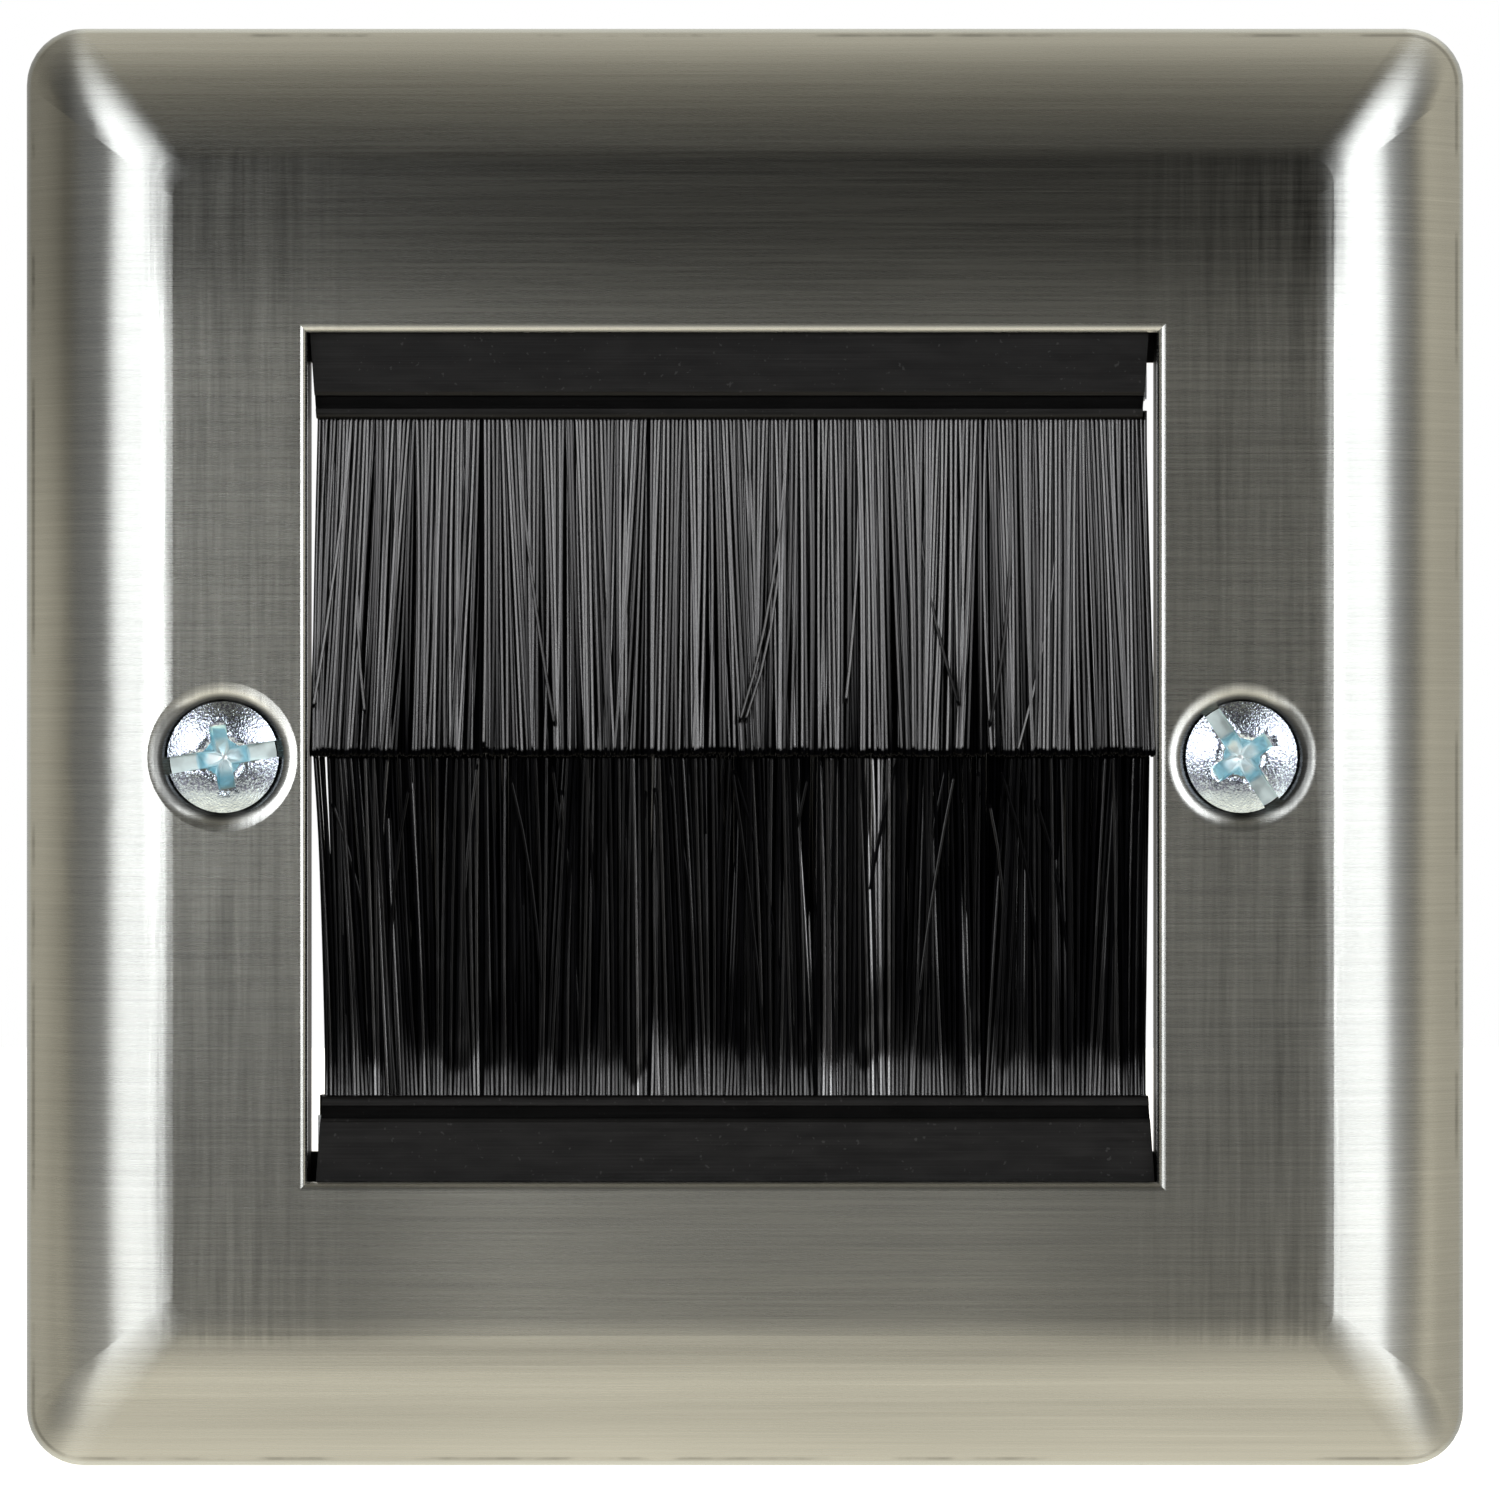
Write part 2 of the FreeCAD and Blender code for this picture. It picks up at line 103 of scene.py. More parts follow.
# Bow away from the room next to the root: its depth, its length, and the waves that vary both
ROOT_BOW = {"upper": 0.0, "lower": 0.16}
ROOT_BOW_LENGTH = 6.6
ROOT_BOW_WAVE = (0.5, 1.3)
ROOT_BOW_LENGTH_WAVE = (0.2, 0.9)
# Scatter of the tips in depth, and how far whole clumps of tips lie further from the room
TIP_SCATTER = {"upper": 0.04, "lower": 0.12}
CLUMP_LIFT = {"upper": 0.0, "lower": 0.5}
CLUMP_LIFT_SPACING = 0.9
CLUMP_LIFT_MOST = 0.8
# How uneven the line of the cut tips is: share of the raggedness used, its size, spacing and limit
TIP_RAGGED = {"upper": 1.1, "lower": 0.2}
RAGGED_SIZE = 0.1
RAGGED_SPACING = 0.6
RAGGED_MOST = 0.2

# Stray filaments: how many in a group, sideways reach, lateness of the bend, way forwards, shortening
STRAYS_PER_GROUP = {"upper": 2, "lower": 5}
STRAY_REACH = (0.8, 3.0)
STRAY_CURVE = (1.2, 3.0)
STRAY_FORWARD = 0.22
STRAY_SHORTER = 0.16

# Gloss of an upper filament, with painted shade that dulls it towards the tip: its least, and what
# chance adds; both as (at the tip, change to the root)
UPPER_GLOSS_AND_SHADE = (-0.08, 0.75)
UPPER_SPREAD_AND_SHADE = (1.12, -0.62)
# Gloss of a lower filament under painted shade that dulls most of them: a few shine, more of them in
# clumps of this spacing
CLUMP_LEAST = 0.35
CLUMP_SPACING = 3.0
STRAND_GLOSS = 3.0
STRAND_RARITY = 3.6
STRAND_LEAST, STRAND_MOST = 0.02, 2.2
# Next to the root the painted shade leaves off and all lower filaments shine: mean length of that, and
# its swing, spacing and lowest wave
GLOSSY_ROOT = 2.9
GLOSSY_ROOT_SWING = 2.8
GLOSSY_ROOT_SPACING = 1.0
GLOSSY_ROOT_LEAST = -0.5
ROOT_SHOWS = 20.2
ROOT_GLOSS = 0.95

# Filaments folded round the core wire, inside the crimp channel
FOLD_PITCH = 0.23
FOLD_LEGS = (-0.27, -0.08, 0.1, 0.29)
FOLD_DRIFT = 0.03
FOLD_PRESS = 0.01
FOLD_LEG_GAP = 0.1
FOLD_ARC_POINTS = 7

# Thread of the M3.5 fixing screws; the profile is (share of the pitch, share of the height)
THREAD_PITCH = 0.6
THREAD_R = 1.75
THREAD_ROOT_R = 1.39
THREAD_TIP_R = 1.2
THREAD_PROFILE = ((0.0, 0.0), (0.25, 0.0), (0.56, 1.0), (0.69, 1.0))
THREAD_SIDES = 48
NECK_R = 1.55
NECK_TAPER = 0.5
# Edges sharper than this many degrees stay crisp on the head
HEAD_CREASE = 28
# How near a CAD vertex lies to the neck's radius or end to count as on it, and what welds
ON_RADIUS = 0.005
ON_END = 0.01
WELD = 1e-7

# Screw head: sag of its dome per square millimetre of radius, and the cross recess's reach
DOME_SAG = 0.0655
CROSS_SLOPE = 0.786
CROSS_REACH = 2.25

# The plate's outline, and half the width of its aperture
PLATE_CORNER_R = 3.4
APERTURE_HALF = 25.15

# Camera and the photograph's framing
CAMERA_DISTANCE = 430.0
CAMERA_AIM_X = 1.05
CAMERA_AIM_Z = 0.48
VIEW_WIDTH = 89.9
SENSOR_WIDTH = 36.0


# --- Places read from the frame ---------------------------------------------------------------


def box_mm(node):
    """Lowest and highest corner of a CAD node, in millimetres."""
    low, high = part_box(node)
    return np.array(low) / MM, np.array(high) / MM


PLATE_LOW, PLATE_HIGH = box_mm("face_plate")
PLATE_CENTRE = (PLATE_LOW + PLATE_HIGH) / 2
PLATE_HALF = (PLATE_HIGH[0] - PLATE_LOW[0]) / 2
FRONT = PLATE_LOW[1]
GROUPS = sum(name.startswith("upper_bristles_") for name in frame["nodes"])
SCREWS = ("left_fixing_screw", "right_fixing_screw")
SCREW_LOW, SCREW_HIGH = box_mm("right_fixing_screw")
SCREW_X = (SCREW_LOW[0] + SCREW_HIGH[0]) / 2


# --- Meshes -----------------------------------------------------------------------------------


def mesh_object(name, points, faces, material):
    """New smooth-shaded object from points in millimetres and faces as index lists."""
    mesh = bpy.data.meshes.new(name)
    mesh.from_pydata([tuple(p) for p in np.asarray(points) * MM], [], faces)
    mesh.polygons.foreach_set("use_smooth", [True] * len(mesh.polygons))
    mesh.materials.append(material)
    mesh.update()
    made = bpy.data.objects.new(name, mesh)
    bpy.context.scene.collection.objects.link(made)
    return made


# --- Node trees -------------------------------------------------------------------------------


def rgb(red, green, blue):
    return (red, green, blue, 1.0)


class Nodes:
    """A node tree being built; each method adds a node and returns its output."""

    def __init__(self, tree):
        self.tree = tree

    def add(self, kind, inputs, output=0, **settings):
        node = self.tree.nodes.new(kind)
        for key, value in settings.items():
            setattr(node, key, value)
        for key, value in inputs.items():
            self.feed(node.inputs[key], value)
        return node.outputs[output]

    def feed(self, socket, value):
        if isinstance(value, bpy.types.NodeSocket):
            self.tree.links.new(value, socket)
        else:
            socket.default_value = value

    def math(self, operation, first, second=0.0):
        return self.add("ShaderNodeMath", {0: first, 1: second}, operation=operation)

    def vector(self, operation, first, second=(0, 0, 0), **inputs):
        inputs = {0: first, 1: second, **inputs}
        return self.add("ShaderNodeVectorMath", inputs, operation=operation)

    def split(self, vector):
        node = self.tree.nodes.new("ShaderNodeSeparateXYZ")
        self.feed(node.inputs[0], vector)
        return node.outputs[:]

    def ramp(self, value, low, high, out_low=0.0, out_high=1.0):
        """Smooth step of value from low to high, given out_low to out_high."""
        inputs = {"Value": value, 1: low, 2: high, 3: out_low, 4: out_high}
        return self.add("ShaderNodeMapRange", inputs, interpolation_type="SMOOTHSTEP")

    def mix(self, share, first, second):
        """Colour between first and second."""
        node = self.tree.nodes.new("ShaderNodeMix")
        node.data_type = "RGBA"
        self.feed(node.inputs[0], share)
        self.feed(node.inputs[6], first)
        self.feed(node.inputs[7], second)
        return node.outputs[2]

    def shade(self, colour, factor):
        """Colour multiplied by a number."""
        return self.vector("SCALE", colour, Scale=factor)

    def length(self, first, second):
        """Length of a flat vector from its two parts."""
        return self.math("SQRT", self.square_sum(first, second))

    def square_sum(self, first, second):
        squares = [self.math("MULTIPLY", part, part) for part in (first, second)]
        return self.math("ADD", *squares)


class Surface(Nodes):
    """A Principled material; place is the position on the object in millimetres."""

    def __init__(self, name):
        self.material = bpy.data.materials.new(name)
        self.material.use_nodes = True
        super().__init__(self.material.node_tree)
        self.shader = self.tree.nodes["Principled BSDF"]
        place = self.add("ShaderNodeTexCoord", {}, output="Object")
        self.place = self.vector("SCALE", place, Scale=1 / MM)

    def set(self, **values):
        for key, value in values.items():
            self.feed(self.shader.inputs[key.replace("_", " ")], value)

    def noise(self, per_mm, detail=2.0, roughness=0.5):
        """Noise with its own frequency along each axis, so that it can become streaks."""
        vector = self.vector("MULTIPLY", self.place, per_mm)
        inputs = {"Vector": vector, "Scale": 1.0, "Detail": detail, "Roughness": roughness}
        return self.add("ShaderNodeTexNoise", inputs)

    def around(self, noise, weight):
        """Noise made to swing about zero."""
        return self.math("MULTIPLY", self.math("SUBTRACT", noise, 0.5), weight)

    def bump(self, height, depth, strength=1.0):
        """Normal from a height of 0 to 1 that stands for depth mm."""
        inputs = {"Height": height, "Distance": depth * MM, "Strength": strength}
        return self.add("ShaderNodeBump", inputs)


# --- Brushed steel ----------------------------------------------------------------------------

# Pairs below are the ends of a smooth step; where there are four numbers, the last two are the
# values at those ends.

# Noise along x, y and z, per millimetre: streaks of the brushing, and soft patches
FINE_STREAKS = (0.07, 0.07, 11.0)
BROAD_STREAKS = (0.025, 0.025, 3.0)
BRIGHT_STREAKS = (0.02, 0.02, 17.0)
SHEEN_PATCHES = (0.03, 0.03, 0.1)
# Cross grain and smudges that lie upright on the face, beyond this distance from the middle
CROSS_GRAIN = (3.0, 0.1, 0.09)
SMUDGES = (0.7, 0.1, 0.07)
CROSS_ZONE = (20.0, 30.0)
# Lightness that each of them adds or takes away
FINE_WEIGHT = 0.5
BROAD_WEIGHT = 0.25
SHEEN_WEIGHT = 0.2
CROSS_WEIGHT = 1.15
SMUDGE_SHOWS = (0.5, 0.72, 0.0, 0.14)
BRIGHT_SHOWS = (0.66, 0.76, 0.0, 0.35)
GRAIN_DEPTH = 0.003
# Depths behind the front between which the flat face gives way to the bevel
FACE_DEPTHS = (FRONT + 0.3, FRONT + 0.05)
# Painted shade: a darker band near the top of the face, where it comes in and goes out, and its depth
# from left to right
TOP_SHADE_IN = (24.0, 32.0)
TOP_SHADE_OUT = (43.0, 37.0)
TOP_SHADE_DEPTH = (-34.0, -5.0, 0.28, 0.46)
# Painted sheen: the lower part of the face lighter, most on the left, with painted shade at its ends
# further down
PAINTED_SHEEN_RISE = (34.0, 22.0, 0.0, 0.55)
PAINTED_SHEEN_SIDES = (-30.0, 4.0, 1.25, 0.75)
LOW_END_RISE = (4.0, -28.0)
LOW_END_ACROSS = (12.0, 26.0, 0.2, 0.8)
LOW_END_RIGHT = (10.0, 26.0, 1.0, 0.6)
# Painted shade on the upper part of the left rim
RIM_SHADE_RISE = (6.0, 34.0, 0.0, 0.5)
RIM_SHADE_EDGE = (-38.4, -39.8)
# Witness line of the press: how far inside the outline, half width, and where it shows
WITNESS_INSET = 0.5
WITNESS_WIDTH = (0.16, 0.03)
WITNESS_NICKS = (0.13, 0.13, 0.13)
WITNESS_SHOWS = (0.47, 0.62, 0.0, 0.36)
# Colours of the sheet and of its outermost edge, and where one goes over into the other
SHEET_TONE = rgb(0.465, 0.48, 0.475)
EDGE_TONE = rgb(0.51, 0.545, 0.56)
EDGE_BAND = (0.4, 0.25)
# Dark inside of the dimple under the screw's head: radii, and the shift outwards on its far side
DIMPLE_SHADE = (3.5, 3.9, 0.22, 1.0)
DIMPLE_SHIFT_FROM = 1.5
DIMPLE_SHIFT = (0.0, 2.0, 0.0, 0.5)
# The rolled edge of the aperture, this far beyond its half width, is smooth
ROLLED_EDGE = (0.3, 0.6)
STEEL_ROUGHNESS = (0.2, 0.8, 0.25, 0.3)


def edge_inset(s, x, z):
    """How far inside the plate's rounded outline a point lies, as seen from the room."""
    core = PLATE_HALF - PLATE_CORNER_R
    u = s.math("SUBTRACT", s.math("ABSOLUTE", s.math("SUBTRACT", x, PLATE_CENTRE[0])), core)
    v = s.math("SUBTRACT", s.math("ABSOLUTE", s.math("SUBTRACT", z, PLATE_CENTRE[2])), core)
    outside = s.length(s.math("MAXIMUM", u, 0.0), s.math("MAXIMUM", v, 0.0))
    inside = s.math("MINIMUM", s.math("MAXIMUM", u, v), 0.0)
    return s.math("SUBTRACT", PLATE_CORNER_R, s.math("ADD", outside, inside))


def grain_lightness(s, fine, cross_zone):
    """Lightness of about 1 from the brushing, the cross grain and the smudges."""
    broad = s.noise(BROAD_STREAKS, detail=3.0)
    sheen = s.noise(SHEEN_PATCHES, detail=2.0)
    cross = s.around(s.noise(CROSS_GRAIN, detail=4.0, roughness=0.7), 1.0)
    smudge = s.ramp(s.noise(SMUDGES, detail=3.0), *SMUDGE_SHOWS)
    bright = s.noise(BRIGHT_STREAKS, detail=2.0)
    light = s.math("ADD", s.around(fine, FINE_WEIGHT), 1.0)
    light = s.math("ADD", light, s.around(broad, BROAD_WEIGHT))
    light = s.math("ADD", light, s.around(sheen, SHEEN_WEIGHT))
    cross = s.math("MULTIPLY", cross, cross_zone)
    light = s.math("ADD", light, s.math("MULTIPLY", cross, CROSS_WEIGHT))
    light = s.math("SUBTRACT", light, s.math("MULTIPLY", smudge, cross_zone))
    return s.math("ADD", light, s.ramp(bright, *BRIGHT_SHOWS))


def painted_top_shade(s, x, z):
    """Share of light lost to the painted shade in the band near the top."""
    band = s.math("MULTIPLY", s.ramp(z, *TOP_SHADE_IN), s.ramp(z, *TOP_SHADE_OUT))
    return s.math("MULTIPLY", band, s.ramp(x, *TOP_SHADE_DEPTH))


def painted_sheen_gain(s, x, z, across):
    """Share of light gained from the painted sheen on the face, less the painted shade at its lower
    ends.
    """
    painted_sheen = s.math("MULTIPLY", s.ramp(z, *PAINTED_SHEEN_RISE), s.ramp(x, *PAINTED_SHEEN_SIDES))
    painted_low_shade = s.math("MULTIPLY", s.ramp(z, *LOW_END_RISE), s.ramp(across, *LOW_END_ACROSS))
    painted_low_shade = s.math("MULTIPLY", painted_low_shade, s.ramp(x, *LOW_END_RIGHT))
    return s.math("SUBTRACT", painted_sheen, painted_low_shade)


def witness_line(s, inset):
    """Broken dark line that the press leaves just inside the outline."""
    nick = s.noise(WITNESS_NICKS, detail=4.0, roughness=0.6)
    line = s.math("ABSOLUTE", s.math("SUBTRACT", inset, WITNESS_INSET))
    return s.math("MULTIPLY", s.ramp(line, *WITNESS_WIDTH), s.ramp(nick, *WITNESS_SHOWS))


def dimple_shade(s, x, z):
    """Share of light left inside the dimples under the screws' heads."""
    from_screw = s.math("SUBTRACT", s.math("ABSOLUTE", x), SCREW_X)
    outward = s.math("SUBTRACT", s.math("ABSOLUTE", x), SCREW_X + DIMPLE_SHIFT_FROM)
    radius = s.math("SUBTRACT", s.length(from_screw, z), s.ramp(outward, *DIMPLE_SHIFT))
    return s.ramp(radius, *DIMPLE_SHADE)


def brushed_steel():
    """Stainless sheet brushed along X, with pressing marks, and painted sheen and painted shade in
    patches on its face and rim.
    """
    s = Surface("brushed_steel")
    fine = s.noise(FINE_STREAKS, detail=5.0, roughness=0.75)
    x, y, z = s.split(s.place)
    across = s.math("ABSOLUTE", s.math("SUBTRACT", x, PLATE_CENTRE[0]))
    on_face = s.ramp(y, *FACE_DEPTHS)
    cross_zone = s.math("MULTIPLY", s.ramp(across, *CROSS_ZONE), on_face)
    light = grain_lightness(s, fine, cross_zone)
    # Painted shade: a darker band near the top of the face.
    light = s.math("SUBTRACT", light, s.math("MULTIPLY", painted_top_shade(s, x, z), on_face))
    # Painted sheen on the lower face, with painted shade at its lower ends.
    painted_sheen = s.math("MULTIPLY", painted_sheen_gain(s, x, z, across), on_face)
    light = s.math("MULTIPLY", light, s.math("ADD", painted_sheen, 1.0))
    # Painted shade on the upper part of the left rim.
    painted_rim_shade = s.math("MULTIPLY", s.ramp(z, *RIM_SHADE_RISE), s.ramp(x, *RIM_SHADE_EDGE))
    light = s.math("MULTIPLY", light, s.math("SUBTRACT", 1.0, painted_rim_shade))
    inset = edge_inset(s, x, z)
    light = s.math("SUBTRACT", light, witness_line(s, inset))
    light = s.math("MULTIPLY", light, dimple_shade(s, x, z))
    tone = s.mix(s.ramp(inset, *EDGE_BAND), SHEET_TONE, EDGE_TONE)
    s.set(Base_Color=s.shade(tone, light), Metallic=1.0)
    s.set(Roughness=s.ramp(fine, *STEEL_ROUGHNESS), Anisotropic=1.0)
    s.set(Tangent=s.add("ShaderNodeCombineXYZ", {0: 0.0, 1: 0.0, 2: 1.0}))
    from_aperture = s.math("MAXIMUM", s.math("ABSOLUTE", x), s.math("ABSOLUTE", z))
    smooth_edge = [APERTURE_HALF + reach for reach in ROLLED_EDGE]
    s.set(Normal=s.bump(fine, GRAIN_DEPTH, s.ramp(from_aperture, *smooth_edge)))
    return s.material


# --- Plastic, plated steel and nylon ----------------------------------------------------------

# Range of a noise's values over which a mottle or haze takes effect
MOTTLE = (0.3, 0.7)
# Lightness of a moulded haze and of a plated mottle, from least to most; depth of their relief
HAZE_LIGHT = (0.8, 1.25)
MOTTLE_LIGHT = (0.7, 1.15)
MOULD_RELIEF = 0.01
PLATE_RELIEF = 0.006
FRAME_COLOUR = (0.012, 0.012, 0.012)
STUD_COLOUR = (0.62, 0.45, 0.36)
WASHER_COLOUR = (0.3, 0.3, 0.32)
GALVANISED_COLOUR = (0.62, 0.64, 0.66)
# The holders' colour and gloss, their share left by the painted shade in the groove, and where behind
# the face that shade comes in
PVC_COLOUR = (0.0068, 0.0068, 0.007)
PVC_SPECULAR = 0.5
PVC_ROUGHNESS = (0.42, 0.55)
GROOVE_SHARE = 0.25
GROOVE_SHADE = (0.28, 0.42)
# Die lines along the holder, blotches and dust: noise per millimetre, and the lightness each gives
DIE_LINES = (0.06, 5.0, 9.0)
DIE_LIGHT = (0.35, 0.75, 0.6, 1.6)
DIE_RELIEF = 0.012
BLOTCHES = (0.35, 1.0, 1.2)
BLOTCH_LIGHT = (0.35, 0.7, 0.0, 0.5)
DUST_SHOWS = (0.68, 0.74, 0.0, 3.0)
# The screws' zinc: on the head, its dark speckle, the cut faces, and down the cross
ZINC_COLOUR = rgb(0.74, 0.85, 0.92)
ZINC_DARK = rgb(0.36, 0.39, 0.5)
ZINC_CUT = rgb(0.78, 0.9, 0.9)
RECESS_BLUE = rgb(0.5, 0.76, 0.85)
RECESS_PALE = rgb(0.95, 0.99, 1.0)
RECESS_DEPTHS = (1.15, 1.6)
SPECKLE_SHOWS = (0.6, 0.42)
SPECKLE_ENDS = (-2.3, -1.8)
CUT_UNDER_DOME = (0.06, 0.2)
CUT_BOTTOM = (2.4, 2.2)
CROSS_SOFT_EDGE = 0.12
CUT_ROUGHER = 0.2
PEEL_DEPTH = 0.034
ZINC_LIGHT = (0.88, 1.1)
ZINC_ROUGHNESS = (0.13, 0.2)
# Nylon: its base colour, its highlight's colour, and that highlight's strength at a gloss of 1
NYLON_COLOUR = (0.001, 0.001, 0.0014)
NYLON_HIGHLIGHT = (1.0, 1.0, 1.02)
NYLON_SPECULAR = 1.15
NYLON_SCUFFS = (4, 4, 0.6)
NYLON_LIGHT = (0.6, 1.5)
NYLON_ROUGHNESS = (0.19, 0.25)


def even(per_mm):
    """Noise frequency that is the same along each axis."""
    return (per_mm, per_mm, per_mm)


def moulded_plastic(name, colour, rough):
    """Black plastic with a fine spark-eroded grain."""
    s = Surface(name)
    grain = s.noise(even(6), detail=3.0)
    haze = s.noise(even(0.3))
    s.set(Base_Color=s.shade(colour, s.ramp(haze, *MOTTLE, *HAZE_LIGHT)))
    s.set(Roughness=s.ramp(grain, *MOTTLE, rough - 0.06, rough + 0.06))
    s.set(Normal=s.bump(grain, MOULD_RELIEF))
    return s.material


def plated_steel(name, colour, rough, grain_size):
    """Zinc, copper or phosphate coat with a fine mottle."""
    s = Surface(name)
    mottle = s.noise(even(grain_size), detail=4.0)
    s.set(Base_Color=s.shade(colour, s.ramp(mottle, *MOTTLE, *MOTTLE_LIGHT)))
    s.set(Metallic=1.0, Roughness=s.ramp(mottle, *MOTTLE, rough - 0.06, rough + 0.1))
    s.set(Normal=s.bump(mottle, PLATE_RELIEF))
    return s.material


def extruded_pvc(front):
    """Charcoal PVC with the die's lines along it, scuffs and specks of dust; painted shade darkens it
    and dims its reflection in the groove.
    """
    s = Surface("extruded_pvc")
    lines = s.noise(DIE_LINES, detail=4.0, roughness=0.7)
    blotch = s.noise(BLOTCHES, detail=3.0)
    dust = s.ramp(s.noise(even(3.0)), *DUST_SHOWS)
    depth = s.split(s.place)[1]
    shallow, deep = (front + reach for reach in GROOVE_SHADE)
    # Painted shade in the groove: darker colour and weaker reflection.
    groove_painted_shade = s.ramp(depth, deep, shallow, GROOVE_SHARE, 1.0)
    light = s.math("ADD", s.ramp(lines, *DIE_LIGHT), s.ramp(blotch, *BLOTCH_LIGHT))
    light = s.math("MULTIPLY", s.math("ADD", light, dust), groove_painted_shade)
    s.set(Base_Color=s.shade(PVC_COLOUR, light))
    s.set(Specular_Tint=s.shade((1.0, 1.0, 1.0), s.math("MULTIPLY", groove_painted_shade, PVC_SPECULAR)))
    s.set(Roughness=s.ramp(blotch, *MOTTLE, *PVC_ROUGHNESS), Specular_IOR_Level=0.3)
    s.set(Normal=s.bump(lines, DIE_RELIEF))
    return s.material


def bright_zinc():
    """Zinc plate: orange peel and dark speckle on the head, a blue cast down in the recess."""
    s = Surface("bright_zinc")
    peel = s.noise(even(7.5), detail=1.5, roughness=0.6)
    speck = s.noise(even(6.0), detail=3.0, roughness=0.7)
    cloud = s.noise(even(1.1))
    x, y, z = s.split(s.place)
    square = s.square_sum(s.math("SUBTRACT", s.math("ABSOLUTE", x), SCREW_X), z)
    depth = s.math("SUBTRACT", y, SCREW_LOW[1])
    under_dome = s.math("SUBTRACT", depth, s.math("MULTIPLY", square, DOME_SAG))
    flank = s.math("ADD", s.math("SQRT", square), s.math("MULTIPLY", depth, CROSS_SLOPE))
    cut = s.math("MULTIPLY", s.ramp(under_dome, *CUT_UNDER_DOME), s.ramp(depth, *CUT_BOTTOM))
    recess = s.math("MULTIPLY", cut, s.ramp(flank, CROSS_REACH + CROSS_SOFT_EDGE, CROSS_REACH))
    dark_share = s.math("MULTIPLY", s.ramp(speck, *SPECKLE_SHOWS), s.ramp(z, *SPECKLE_ENDS))
    tone = s.mix(cut, s.mix(dark_share, ZINC_COLOUR, ZINC_DARK), ZINC_CUT)
    tone = s.mix(recess, tone, s.mix(s.ramp(depth, *RECESS_DEPTHS), RECESS_BLUE, RECESS_PALE))
    s.set(Base_Color=s.shade(tone, s.ramp(cloud, *MOTTLE, *ZINC_LIGHT)), Metallic=1.0)
    rougher = s.math("MULTIPLY", cut, CUT_ROUGHER)
    s.set(Roughness=s.math("ADD", s.ramp(cloud, *MOTTLE, *ZINC_ROUGHNESS), rougher))
    s.set(Normal=s.bump(peel, PEEL_DEPTH, s.math("SUBTRACT", 1.0, cut)))
    return s.material


def nylon():
    """Black nylon filament: each has its own gloss, which painted shade dulls along it and takes away on
    those deep in the curtain.
    """
    s = Surface("black_nylon")
    own = s.add("ShaderNodeAttribute", {}, output="Fac", attribute_name="filament")
    scuff = s.noise(NYLON_SCUFFS)
    s.set(Base_Color=s.shade(NYLON_COLOUR, s.ramp(scuff, *MOTTLE, *NYLON_LIGHT)))
    # The filament's own gloss and painted shade along it set the strength of its highlight.
    s.set(Specular_Tint=s.shade(NYLON_HIGHLIGHT, s.math("MULTIPLY", own, NYLON_SPECULAR)))
    s.set(Roughness=s.ramp(scuff, *MOTTLE, *NYLON_ROUGHNESS), IOR=1.53, Specular_IOR_Level=1.0)
    s.set(Anisotropic=1.0, Tangent=s.add("ShaderNodeCombineXYZ", {0: 1.0, 1: 0.0, 2: 0.0}))
    return s.material


# --- Tubes and random waves -------------------------------------------------------------------


def tubes(paths, radii):
    """Closed tubes round many paths at once: paths is (tube, station, 3), radii (tube, station)."""
    count, stations = paths.shape[:2]
    sides = FILAMENT_SIDES
    along = np.gradient(paths, axis=1)
    along /= np.linalg.norm(along, axis=2, keepdims=True)
    reference = np.array([0.0, 1.0, 0.0])
    first = np.cross(along, reference)
    first /= np.linalg.norm(first, axis=2, keepdims=True)
    second = np.cross(along, first)
    angles = 2 * np.pi * np.arange(sides) / sides
    ring = (
        first[:, :, None] * np.cos(angles)[None, None, :, None]
        + second[:, :, None] * np.sin(angles)[None, None, :, None]
    )
    points = paths[:, :, None] + ring * radii[:, :, None, None]
    index = np.arange(count * stations * sides).reshape(count, stations, sides)
    here, there = index[:, :-1], index[:, 1:]
    walls = np.stack(
        [here, np.roll(here, -1, 2), np.roll(there, -1, 2), there], axis=-1
    ).reshape(-1, 4)
    caps = [list(ring[::-1]) for ring in index[:, 0]] + [list(ring) for ring in index[:, -1]]
    return points.reshape(-1, 3), walls.tolist() + caps


def wave(random, position, spacing):
    """Random smooth curve of about unit size, read at each position."""
    low, high = position.min(), position.max()
    knots = max(2, round((high - low) / spacing))
    heights = random.normal(0, 1, knots + 3)
    place = (position - low) / (high - low) * knots
    first = np.floor(place).astype(int)
    part = place - first
    part = part * part * (3 - 2 * part)
    return heights[first] * (1 - part) + heights[first + 1] * part


def held_inside(x, shift, low, high):
    """Sideways shift, damped where it would leave the group's own width."""
    room = np.where(shift > 0, high - x, x - low)
    return np.sign(shift) * room * np.tanh(np.abs(shift) / np.maximum(room, 1e-3))


# --- Bristle curtains -------------------------------------------------------------------------


class Group:
    """Where one bristle group lies: its CAD slab, its hinge, and its width at root and tip."""

    def __init__(self, side, index):
        self.side, self.index = side, index
        self.node = f"{side}_bristles_{index}"
        self.low, self.high = box_mm(self.node)
        joint = next(j for j in frame["joints"] if j["name"] == self.node + "_tilt")
        self.hinge_y, self.hinge_z = joint["pos_m"][1] / MM, joint["pos_m"][2] / MM
        self.up = math.copysign(1.0, self.hinge_z)
        self.tip_z = self.low[2] if self.up > 0 else self.high[2]
        self.first, self.last = index == 1, index == GROUPS
        inner = (self.low[0] + EDGE_INSET, self.high[0] - EDGE_INSET)
        left, right = CURTAIN_ENDS[side]
        self.root_low, self.tip_low = left if self.first else (inner[0], inner[0])
        self.root_high, self.tip_high = right if self.last else (inner[1], inner[1])


